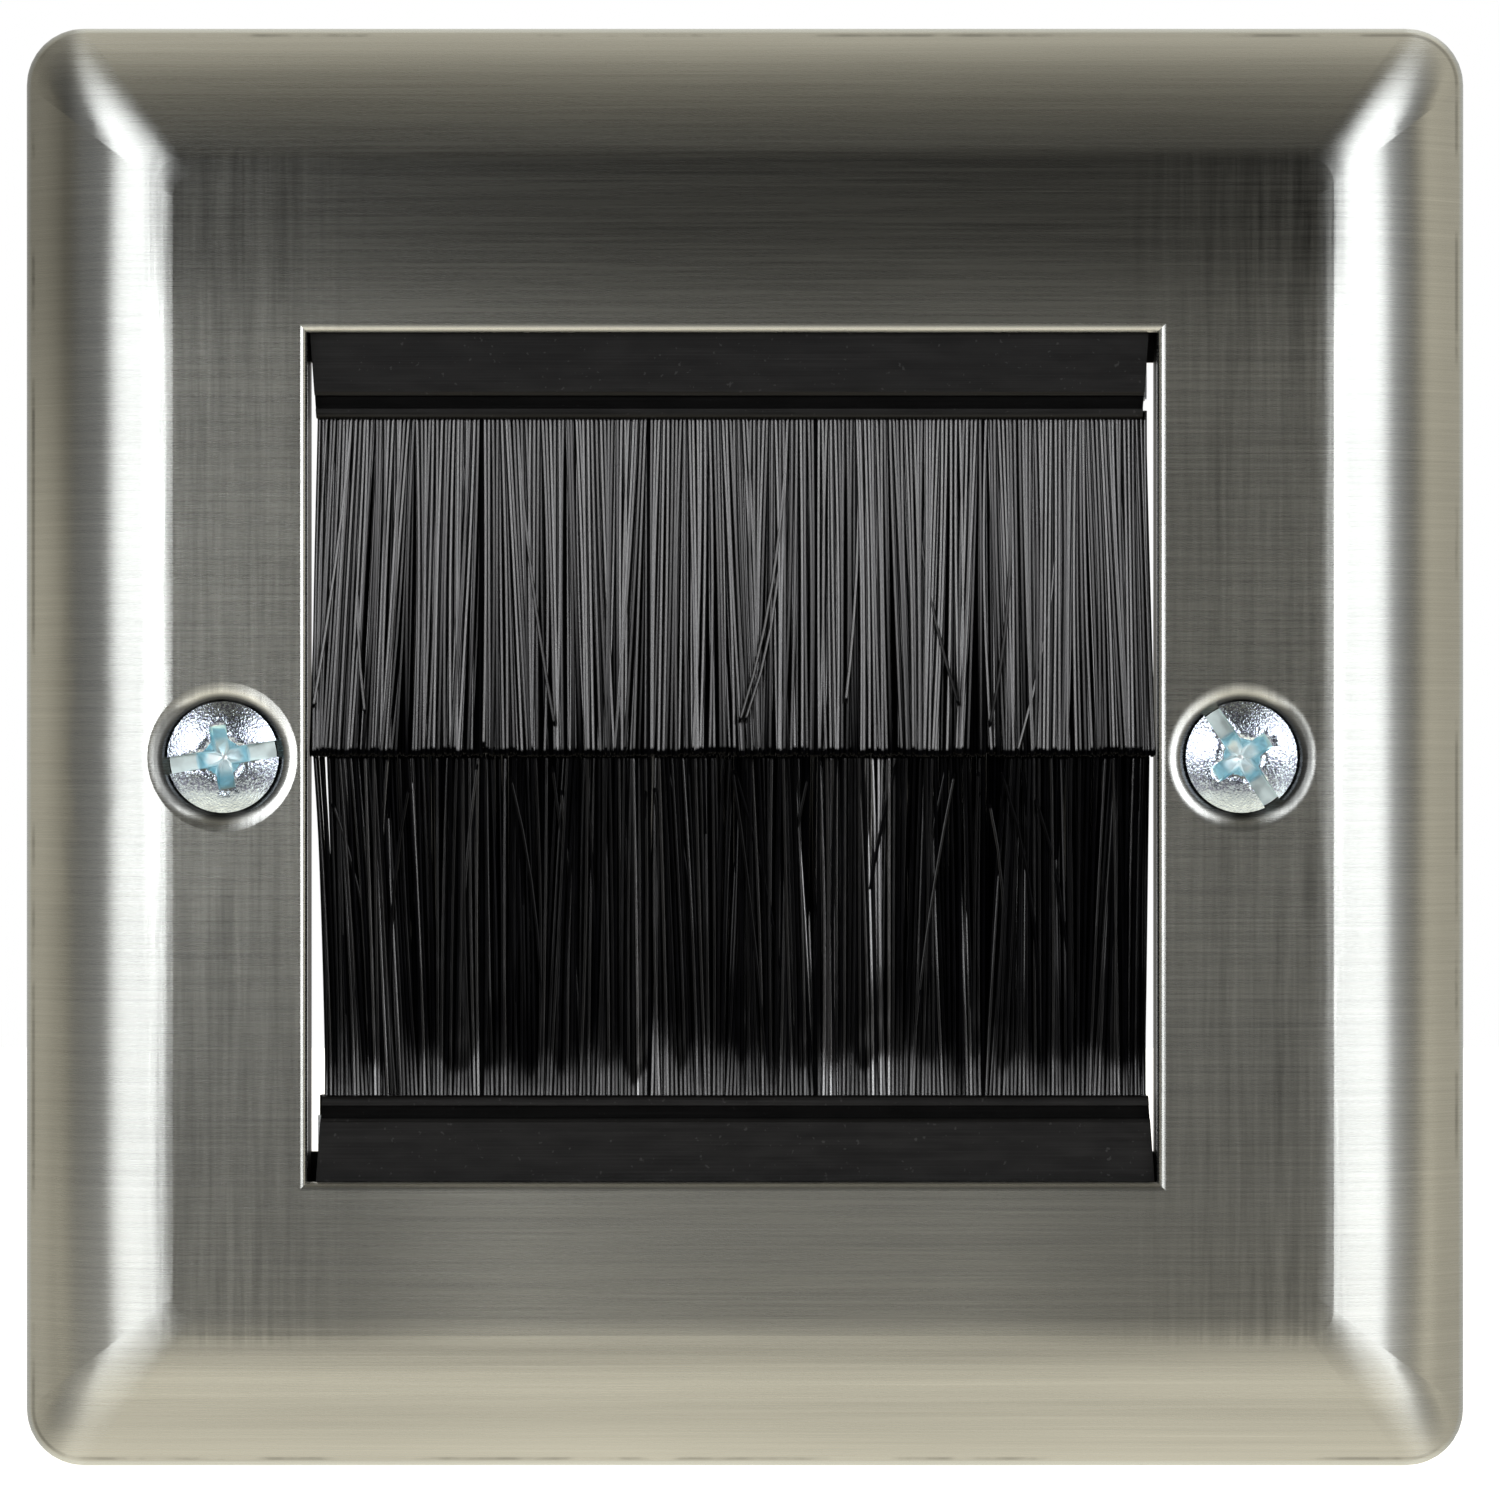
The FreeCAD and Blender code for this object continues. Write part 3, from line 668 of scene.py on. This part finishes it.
def filament_roots(random, low, high):
    """Root x and layer (0 at the back, 1 at the front) of every filament of a group."""
    xs, layers = [], []
    for layer in range(FILAMENT_LAYERS):
        packed = layer < PACKED_LAYERS
        pitch = PACKED_PITCH if packed else FILAMENT_PITCH
        jitter = PACKED_JITTER if packed else PITCH_JITTER
        count = round((high - low) / pitch) + 1
        step = np.arange(count) + random.uniform(-jitter, jitter, count)
        step += 0.5 * (layer % 2) * (step < count - 1.5)
        xs.append(low + (high - low) * np.clip(step / (count - 1), 0, 1))
        layers.append(np.full(count, layer / (FILAMENT_LAYERS - 1)))
    return np.concatenate(xs), np.concatenate(layers)


def planted(random, group):
    """Root x, undisturbed tip x and layer of every filament, and which are tightly packed."""
    root_x, layer = filament_roots(random, group.root_low, group.root_high)
    packed = layer < (PACKED_LAYERS - 0.5) / (FILAMENT_LAYERS - 1)
    share = (root_x - group.root_low) / (group.root_high - group.root_low)
    tip_x = group.tip_low + (group.tip_high - group.tip_low) * share
    if not group.last:
        next_low = box_mm(f"{group.side}_bristles_{group.index + 1}")[0][0]
        stagger = GAP_STAGGER * (-1.0) ** np.arange(FILAMENT_LAYERS)
        between = (group.high[0] + next_low) / 2 + stagger
        root_x, tip_x = np.append(root_x, between), np.append(tip_x, between)
        layer = np.append(layer, np.linspace(0, 1, FILAMENT_LAYERS))
        packed = np.append(packed, np.full(FILAMENT_LAYERS, True))
    return root_x, tip_x, layer, packed


def swayed(random, group, root_x, tip_x, layer, packed):
    """Tip x after the clumps' sway, and each filament's splay curve."""
    sway = sum(size * wave(random, root_x, spacing) for size, spacing in SWAY_WAVES)
    size, spacing = LAYER_SWAY
    sway += size * wave(random, root_x + LAYER_SHIFT * layer, spacing)
    sway += random.normal(0, SWAY_SCATTER, len(root_x))
    sway[packed] = 0.0
    within = (tip_x >= group.tip_low) & (tip_x <= group.tip_high)
    shift = held_inside(tip_x, sway, group.tip_low, group.tip_high)
    tip_x = tip_x + np.where(within, shift, 0.0)
    splay = np.full(len(root_x), SPLAY_CURVE)
    if group.first and group.side == "lower":
        loose = root_x < group.root_low + LOOSE_END
        strand = (root_x[loose] - group.root_low) / LOOSE_END * len(LOOSE_TIPS)
        scatter = random.normal(0, LOOSE_SCATTER, loose.sum())
        tip_x[loose] = np.array(LOOSE_TIPS)[strand.astype(int)] + scatter
        splay[loose] = LOOSE_SPLAY_CURVE
    return tip_x, splay


def tip_depths(random, group, root_x, layer):
    """Tip y of every filament: its layer's place, its own scatter and its clump's lift."""
    lean = group.low[1] + TIP_HALF_DEPTH + TIP_CLEARANCE - group.hinge_y
    tip_y = group.hinge_y + lean + (1 - 2 * layer) * TIP_HALF_DEPTH
    tip_y += random.normal(0, TIP_SCATTER[group.side], len(root_x))
    clump = np.maximum(wave(random, root_x, CLUMP_LIFT_SPACING), 0) ** 2
    return tip_y + np.minimum(CLUMP_LIFT[group.side] * clump, CLUMP_LIFT_MOST)


def tip_heights(random, group, root_x):
    """Tip z of every filament, a little uneven."""
    ragged = random.normal(0, RAGGED_SIZE, len(root_x))
    ragged += RAGGED_SIZE * wave(random, root_x, RAGGED_SPACING)
    return group.tip_z + group.up * TIP_RAGGED[group.side] * np.minimum(np.abs(ragged), RAGGED_MOST)


def root_bow(random, group, root_x, z):
    """Bow away from the room over the first few millimetres next to the holder."""
    size, spacing = ROOT_BOW_WAVE
    back = ROOT_BOW[group.side] * (1 + size * wave(random, root_x, spacing))
    size, spacing = ROOT_BOW_LENGTH_WAVE
    length = ROOT_BOW_LENGTH * (1 + size * wave(random, root_x, spacing))
    out = np.clip((FILAMENT_TOP - np.abs(z)) / length[:, None], 0, 1)
    return back[:, None] * np.sin(np.pi * out)


def filament_paths(random, group):
    """Path of every filament from root to tip, and which are tightly packed."""
    root_x, tip_x, layer, packed = planted(random, group)
    count = len(root_x)
    tip_x, splay = swayed(random, group, root_x, tip_x, layer, packed)
    root_y = group.hinge_y + (1 - 2 * layer) * ROOT_HALF_DEPTH
    tip_y = tip_depths(random, group, root_x, layer)
    tip_z = tip_heights(random, group, root_x)
    stations = np.array(STATIONS)
    root_z = np.full(count, group.up * FILAMENT_TOP)
    z = root_z[:, None] + (tip_z - root_z)[:, None] * stations[None]
    bow = random.normal(0, SIDE_BOW, count) * ~packed
    x = root_x[:, None] + (tip_x - root_x)[:, None] * stations[None] ** splay[:, None]
    x += bow[:, None] * np.sin(np.pi * stations)[None]
    past = np.clip((group.hinge_z - z) / (group.hinge_z - group.tip_z), 0, 1)
    y = root_y[:, None] + (tip_y - root_y)[:, None] * past ** FORWARD_CURVE[group.side]
    y += root_bow(random, group, root_x, z)
    return np.stack([x, y, z], axis=-1), packed


def strays(random, group, paths):
    """A few front filaments that have sprung out of line: copies bent sideways and forwards."""
    number = STRAYS_PER_GROUP[group.side]
    front = np.argsort(paths[:, -1, 1])[: len(paths) // 3]
    chosen = paths[random.choice(front, number, replace=False)].copy()
    along = np.array(STATIONS)[None]
    shift = random.uniform(*STRAY_REACH, number) * random.choice([-1, 1], number)
    shift = held_inside(chosen[:, -1, 0], shift, group.tip_low, group.tip_high)
    chosen[:, :, 0] += shift[:, None] * along ** random.uniform(*STRAY_CURVE, number)[:, None]
    chosen[:, :, 1] -= STRAY_FORWARD * along**2
    shorten = 1 - random.uniform(0.0, STRAY_SHORTER, number)[:, None] * along
    chosen[:, :, 2] = chosen[:, :1, 2] + (chosen[:, :, 2] - chosen[:, :1, 2]) * shorten
    return chosen


def upper_gloss_and_painted_shade(own, height):
    """Gloss of the upper filaments with painted shade: more even towards the root, duller towards the
    tip.
    """
    near_root = height / FILAMENT_TOP
    least = UPPER_GLOSS_AND_SHADE[1] * near_root + UPPER_GLOSS_AND_SHADE[0]
    spread = UPPER_SPREAD_AND_SHADE[0] + UPPER_SPREAD_AND_SHADE[1] * near_root
    return np.maximum(least + spread * own[:, None], 0.0)


def lower_gloss_and_painted_shade(random, own, height, root_x):
    """Gloss of the lower filaments with painted shade: it dulls all but a few shiny strands, and leaves
    off next to the root.
    """
    clump = CLUMP_LEAST + np.maximum(wave(random, root_x, CLUMP_SPACING), 0)
    strand = STRAND_LEAST + STRAND_GLOSS * clump * own**STRAND_RARITY
    strand = np.clip(strand, 0, STRAND_MOST)
    varied = np.maximum(wave(random, root_x, GLOSSY_ROOT_SPACING), GLOSSY_ROOT_LEAST)
    glossy = GLOSSY_ROOT + GLOSSY_ROOT_SWING * varied
    flame = np.clip(1 - (ROOT_SHOWS - height) / glossy[:, None], 0, 1)
    return np.maximum(strand[:, None], ROOT_GLOSS * flame * (0.5 + 0.5 * own)[:, None])


def filament_gloss_and_painted_shade(random, group, paths, packed):
    """Gloss of each filament at each station, with painted shade along it; none at the cut tip, and
    painted shade leaves none if packed deep.
    """
    own = random.uniform(0, 1, len(paths))
    height = np.abs(paths[:, :, 2])
    if group.side == "upper":
        gloss_and_painted_shade = upper_gloss_and_painted_shade(own, height)
    else:
        gloss_and_painted_shade = lower_gloss_and_painted_shade(random, own, height, paths[:, 0, 0])
    gloss_and_painted_shade[:, -DULL_RINGS:] = 0.0
    # Painted shade: the filaments packed deep get no gloss.
    gloss_and_painted_shade[: len(packed)][packed] = 0.0
    return gloss_and_painted_shade


def curtain_group(side, index, material):
    """Filaments of one bristle group, replacing its CAD slab."""
    group = Group(side, index)
    random = np.random.default_rng(CURTAIN_SEED + 10 * index + (group.up < 0))
    paths, packed = filament_paths(random, group)
    paths = np.concatenate([paths, strays(random, group, paths)])
    radii = np.full(paths.shape[:2], FILAMENT_R)
    radii[:, -2:] *= TIP_TAPER
    points, faces = tubes(paths, radii)
    made = mesh_object(f"{side}_filaments_{index}", points, faces, material)
    gloss_and_painted_shade = filament_gloss_and_painted_shade(random, group, paths, packed)
    gloss_and_painted_shade = np.repeat(gloss_and_painted_shade.ravel(), FILAMENT_SIDES)
    # The attribute holds each filament's gloss with painted shade along it.
    made.data.attributes.new("filament", "FLOAT", "POINT").data.foreach_set("value", gloss_and_painted_shade)
    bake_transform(made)
    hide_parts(group.node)


def fold_loop(wire, mouth, loop_r, up):
    """y and z of a filament that goes up one side of the wire, over it and down the other."""
    arc = np.radians(np.linspace(180, 0, FOLD_ARC_POINTS))[1:-1]
    rise = wire[2] - mouth
    y = np.concatenate([[-loop_r] * 3, loop_r * np.cos(arc), [loop_r] * 3])
    over = rise + up * loop_r * np.sin(arc)
    z = np.concatenate([[0, 0.5 * rise, rise], over, [rise, 0.5 * rise, 0]])
    return wire[1] + y, mouth + z


def folded_filaments(side, material):
    """The clamped filaments: looped over the core wire, their legs filling the channel's mouth."""
    node = f"{side}_filament_fold"
    low, high = box_mm(node)
    wire_low, wire_high = box_mm(f"{side}_core_wire")
    wire = (wire_low + wire_high) / 2
    up = math.copysign(1.0, wire[2])
    mouth = min(low[2] * up, high[2] * up) * up
    loop_r = (wire_high[1] - wire_low[1]) / 2 + FILAMENT_R - FOLD_PRESS
    random = np.random.default_rng(CURTAIN_SEED + (up < 0))
    loop_y, loop_z = fold_loop(wire, mouth, loop_r, up)
    stations = len(loop_y)
    count = int((high[0] - low[0] - 2 * FILAMENT_R) / FOLD_PITCH)
    places = low[0] + FILAMENT_R + FOLD_PITCH * (np.arange(count) + 0.5)
    paths = []
    for x in places:
        drift = random.uniform(-FOLD_DRIFT, FOLD_DRIFT)
        xs = np.full(stations, x) + drift * np.linspace(-1, 1, stations)
        paths.append(np.stack([xs, loop_y, loop_z], axis=-1))
    leg_top = wire[2] - up * (loop_r + FOLD_LEG_GAP)
    for number, y in enumerate(FOLD_LEGS):
        for x in places + FOLD_PITCH * (number % 2 - 0.5) * 0.5:
            leg = np.linspace([x, wire[1] + y, mouth], [x, wire[1] + y, leg_top], stations)
            paths.append(leg)
    paths = np.array(paths)
    points, faces = tubes(paths, np.full(paths.shape[:2], FILAMENT_R))
    made = mesh_object(f"{side}_folded_filaments", points, faces, material)
    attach(made, "wall_plate")
    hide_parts(node)


# --- Fixing screws ----------------------------------------------------------------------------


def thread_points(centre_x, start, end, steps):
    """Points of the thread: its profile at each step of the helix, held inside neck and tip."""
    angle = 2 * np.pi * steps / THREAD_SIDES
    rows = []
    for share, height in THREAD_PROFILE:
        y = start + THREAD_PITCH * (steps / THREAD_SIDES - 1 + share)
        y = np.clip(y, start, end)
        r = THREAD_ROOT_R + (THREAD_R - THREAD_ROOT_R) * height
        r = np.maximum(r, NECK_R - NECK_TAPER * (y - start))
        r = np.minimum(r, np.minimum(NECK_R + (y - start), THREAD_TIP_R + end - y))
        rows.append(np.stack([centre_x + r * np.cos(angle), y, r * np.sin(angle)], axis=-1))
    return np.stack(rows, axis=1).reshape(-1, 3)


def thread_faces(count):
    """Faces that join each profile to the next, and each turn to the turn above."""
    across = len(THREAD_PROFILE)
    faces = []
    for step in range(count - 1):
        here, there = step * across, (step + 1) * across
        for k in range(across - 1):
            faces.append([here + k, here + k + 1, there + k + 1, there + k])
        if step + THREAD_SIDES + 1 < count:
            above = (step + THREAD_SIDES) * across
            faces.append([here + across - 1, above, above + across, there + across - 1])
    return faces


def helical_thread(centre_x, start, end):
    """Points and faces of the thread, with the flat end of its shank."""
    turns = math.ceil((end - start) / THREAD_PITCH) + 1
    steps = np.arange(turns * THREAD_SIDES + 1)
    points = thread_points(centre_x, start, end, steps)
    ring = 2 * np.pi * np.arange(THREAD_SIDES) / THREAD_SIDES
    r = THREAD_TIP_R
    cap = np.stack([centre_x + r * np.cos(ring), np.full_like(ring, end), r * np.sin(ring)], -1)
    end_face = list(range(len(points), len(points) + THREAD_SIDES))
    return np.concatenate([points, cap]), thread_faces(len(steps)) + [end_face]


def neck_end_y(source, centre_x):
    """Where the CAD screw's neck ends and its shank begins."""
    vertices = np.array([v.co for v in source.vertices]) / MM
    radius = np.hypot(vertices[:, 0] - centre_x, vertices[:, 2])
    neck = (np.abs(radius - NECK_R) < ON_RADIUS) & (vertices[:, 1] < 0)
    return vertices[neck, 1].max()


def fixing_screw(node, material):
    """The CAD screw's head and neck with a wound thread in place of the plain shank."""
    low, high = box_mm(node)
    centre_x = (low[0] + high[0]) / 2
    source = frame["nodes"][node].data
    neck_end = neck_end_y(source, centre_x)
    points, faces = helical_thread(centre_x, neck_end, high[1])
    made = mesh_object(node.replace("fixing_", ""), points, faces, material)
    shape = bmesh.new()
    shape.from_mesh(source)
    shank = [f for f in shape.faces if min(v.co.y for v in f.verts) > (neck_end - ON_END) * MM]
    bmesh.ops.delete(shape, geom=shank, context="FACES")
    for face in shape.faces:
        face.material_index = 0
    shape.from_mesh(made.data)
    bmesh.ops.remove_doubles(shape, verts=shape.verts, dist=WELD)
    bmesh.ops.dissolve_degenerate(shape, edges=shape.edges, dist=WELD)
    bmesh.ops.recalc_face_normals(shape, faces=shape.faces)
    shape.to_mesh(made.data)
    shape.free()
    made.data.polygons.foreach_set("use_smooth", [True] * len(made.data.polygons))
    made.data.set_sharp_from_angle(angle=math.radians(HEAD_CREASE))
    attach(made, node)
    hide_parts(node)


# --- The room: floor, light and camera --------------------------------------------------------

FLOOR_REACH = 600.0
FLOOR_GAP = 0.05
FLOOR_GLOW = 0.75


def grey(value):
    return (value, value, value)


def warm(value):
    return (value, value * 0.91, value * 0.72)


# Light from each side, by the angle in degrees away from straight in front of the plate
SIDE_LIGHT = 4.6
FRONT_LIGHT = 0.03
LEFT_STOPS = [
    (0, grey(FRONT_LIGHT)), (3, grey(0.25)), (8, grey(0.7)), (12, grey(2.0)), (16, grey(SIDE_LIGHT)),
    (46, grey(SIDE_LIGHT)), (52, grey(0.3)), (62, grey(0.24)), (72, grey(0.16)),
    (78, warm(0.28)), (85, warm(0.5)), (96, warm(0.7)), (180, grey(0.6)),
]
RIGHT_STOPS = [
    (0, grey(FRONT_LIGHT)), (10, grey(0.04)), (20, grey(0.5)), (28, grey(SIDE_LIGHT)),
    (50, grey(SIDE_LIGHT)), (56, grey(0.8)), (64, grey(0.4)), (71, grey(0.16)),
    (76, warm(0.4)), (81, warm(0.8)), (96, warm(0.7)), (180, grey(0.6)),
]
UP_STOPS = [
    (0, grey(FRONT_LIGHT)), (35, grey(0.03)), (50, warm(0.22)),
    (73, warm(0.22)), (80, warm(0.3)), (85, warm(0.58)), (96, warm(1.4)), (180, grey(1.2)),
]
DOWN_STOPS = [
    (0, grey(FRONT_LIGHT)), (15, grey(0.03)), (27, warm(0.15)), (50, warm(0.6)),
    (80, warm(1.45)), (180, warm(1.45)),
]
# Where the side panels end, as smooth steps of the direction's parts
PANEL_ABOVE = (-0.025, 0.015)
PANEL_TO_THE_FRONT = (-0.68, -0.56)
PANEL_SIDEWAYS = (0.5, 0.85)
LEFT_TO_RIGHT = (-0.4, 0.4)
DOWN_TO_UP = (-0.4, -0.15)
# Cards on the table: gap to the plate's front, depth, and colour
CARDS = {
    "first_card": (2.0, 4.0, warm(0.95)),
    "second_card": (6.5, 6.0, warm(0.55)),
    "third_card": (13.0, 24.0, warm(0.34)),
    "fourth_card": (38.0, 80.0, grey(0.36)),
}
CARD_WIDTH = 260.0


def pale_floor():
    """Plain sheet just under the plate."""
    reach, z = FLOOR_REACH, PLATE_LOW[2] - FLOOR_GAP
    corners = [(-reach, -reach, z), (reach, -reach, z), (reach, reach, z), (-reach, reach, z)]
    s = Surface("pale_floor")
    s.set(Base_Color=rgb(0.85, 0.85, 0.85), Roughness=0.8)
    s.set(Emission_Color=rgb(1, 1, 1), Emission_Strength=FLOOR_GLOW)
    floor = mesh_object("floor", corners, [[0, 1, 2, 3]], s.material)
    floor.visible_glossy = False
    floor.visible_diffuse = False


def reflector_cards():
    """Lit cards lying in front of the plate and facing up, the nearer ones the brighter."""
    for name, (near, depth, colour) in CARDS.items():
        data = bpy.data.lights.new(name, "AREA")
        data.shape = "RECTANGLE"
        data.size, data.size_y = CARD_WIDTH * MM, depth * MM
        data.energy = math.pi * data.size * data.size_y
        data.color = colour
        made = bpy.data.objects.new(name, data)
        place = (PLATE_CENTRE[0], FRONT - near - depth / 2, PLATE_LOW[2])
        made.location = Vector(place) * MM
        made.rotation_euler = (math.pi, 0, 0)
        made.visible_camera = False
        bpy.context.scene.collection.objects.link(made)


def angle_ramp(s, angle, stops):
    """Colour by the angle from straight in front, where an angle of 1 is 180 degrees."""
    colours = s.add("ShaderNodeValToRGB", {0: angle})
    ramp = colours.node.color_ramp
    ramp.interpolation = "LINEAR"
    while len(ramp.elements) > 1:
        ramp.elements.remove(ramp.elements[-1])
    peak = max(max(colour) for _, colour in stops)
    for number, (degrees, colour) in enumerate(stops):
        element = ramp.elements[0] if number == 0 else ramp.elements.new(degrees / 180)
        element.position = degrees / 180
        element.color = [channel / peak for channel in colour] + [1.0]
    return s.shade(colours, peak)


def studio_colour(s):
    """Light by direction: tall panels left and right, dark above, warm table below."""
    x, y, z = s.split(s.add("ShaderNodeTexCoord", {}, output="Generated"))
    angle = s.math("DIVIDE", s.math("ARCCOSINE", s.math("MULTIPLY", y, -1.0)), math.pi)
    radial = s.math("MAXIMUM", s.length(x, z), 1e-4)
    sideways = s.math("DIVIDE", s.math("ABSOLUTE", x), radial)
    above = s.math("MAXIMUM", s.ramp(z, *PANEL_ABOVE), s.ramp(y, *PANEL_TO_THE_FRONT))
    side = s.math("MULTIPLY", s.ramp(sideways, *PANEL_SIDEWAYS), above)
    rightward = s.ramp(s.math("DIVIDE", x, radial), *LEFT_TO_RIGHT)
    left, right = angle_ramp(s, angle, LEFT_STOPS), angle_ramp(s, angle, RIGHT_STOPS)
    up, down = angle_ramp(s, angle, UP_STOPS), angle_ramp(s, angle, DOWN_STOPS)
    ends = s.mix(s.ramp(z, *DOWN_TO_UP), down, up)
    return s.mix(side, ends, s.mix(rightward, left, right))


def studio_light():
    """Soft surroundings that light the plate, and a plain white backdrop for the camera."""
    world = bpy.data.worlds.new("studio")
    bpy.context.scene.world = world
    world.use_nodes = True
    s = Nodes(world.node_tree)
    s.tree.nodes.clear()
    surroundings = s.add("ShaderNodeBackground", {"Color": studio_colour(s)})
    backdrop = s.add("ShaderNodeBackground", {"Color": rgb(1, 1, 1)})
    seen = s.add("ShaderNodeLightPath", {}, output="Is Camera Ray")
    choice = s.add("ShaderNodeMixShader", {0: seen, 1: surroundings, 2: backdrop})
    output = s.tree.nodes.new("ShaderNodeOutputWorld")
    s.feed(output.inputs["Surface"], choice)


def camera():
    """Long lens square on to the plate, as in the photograph."""
    data = bpy.data.cameras.new("camera")
    data.sensor_width = SENSOR_WIDTH
    data.lens = SENSOR_WIDTH * CAMERA_DISTANCE / VIEW_WIDTH
    data.clip_start = 0.01
    made = bpy.data.objects.new("camera", data)
    made.location = Vector((CAMERA_AIM_X, -CAMERA_DISTANCE, CAMERA_AIM_Z)) * MM
    made.rotation_euler = (math.radians(90), 0, 0)
    bpy.context.scene.collection.objects.link(made)
    bpy.context.scene.camera = made


# --- Assembly ---------------------------------------------------------------------------------


def dress(material, *nodes):
    """Give CAD nodes their material."""
    for node in nodes:
        slots = frame["nodes"][node].data.materials
        slots.clear()
        slots.append(material)


dress(brushed_steel(), "face_plate")
dress(moulded_plastic("moulded_frame", FRAME_COLOUR, 0.5), "rear_frame")
dress(extruded_pvc(box_mm("upper_brush_holder")[0][1]), "upper_brush_holder", "lower_brush_holder")
dress(plated_steel("stud_copper", STUD_COLOUR, 0.35, 5.0), "weld_studs")
dress(plated_steel("washer_phosphate", WASHER_COLOUR, 0.4, 6.0), "push_on_washers")
galvanised = plated_steel("galvanised", GALVANISED_COLOUR, 0.35, 2.0)
for side in ("upper", "lower"):
    dress(galvanised, f"{side}_crimp_channel", f"{side}_core_wire")
zinc = bright_zinc()
for screw in SCREWS:
    fixing_screw(screw, zinc)
black = nylon()
for side in ("upper", "lower"):
    folded_filaments(side, black)
    for number in range(1, GROUPS + 1):
        curtain_group(side, number, black)

pale_floor()
reflector_cards()
studio_light()
camera()
bpy.context.scene.view_settings.view_transform = "Standard"
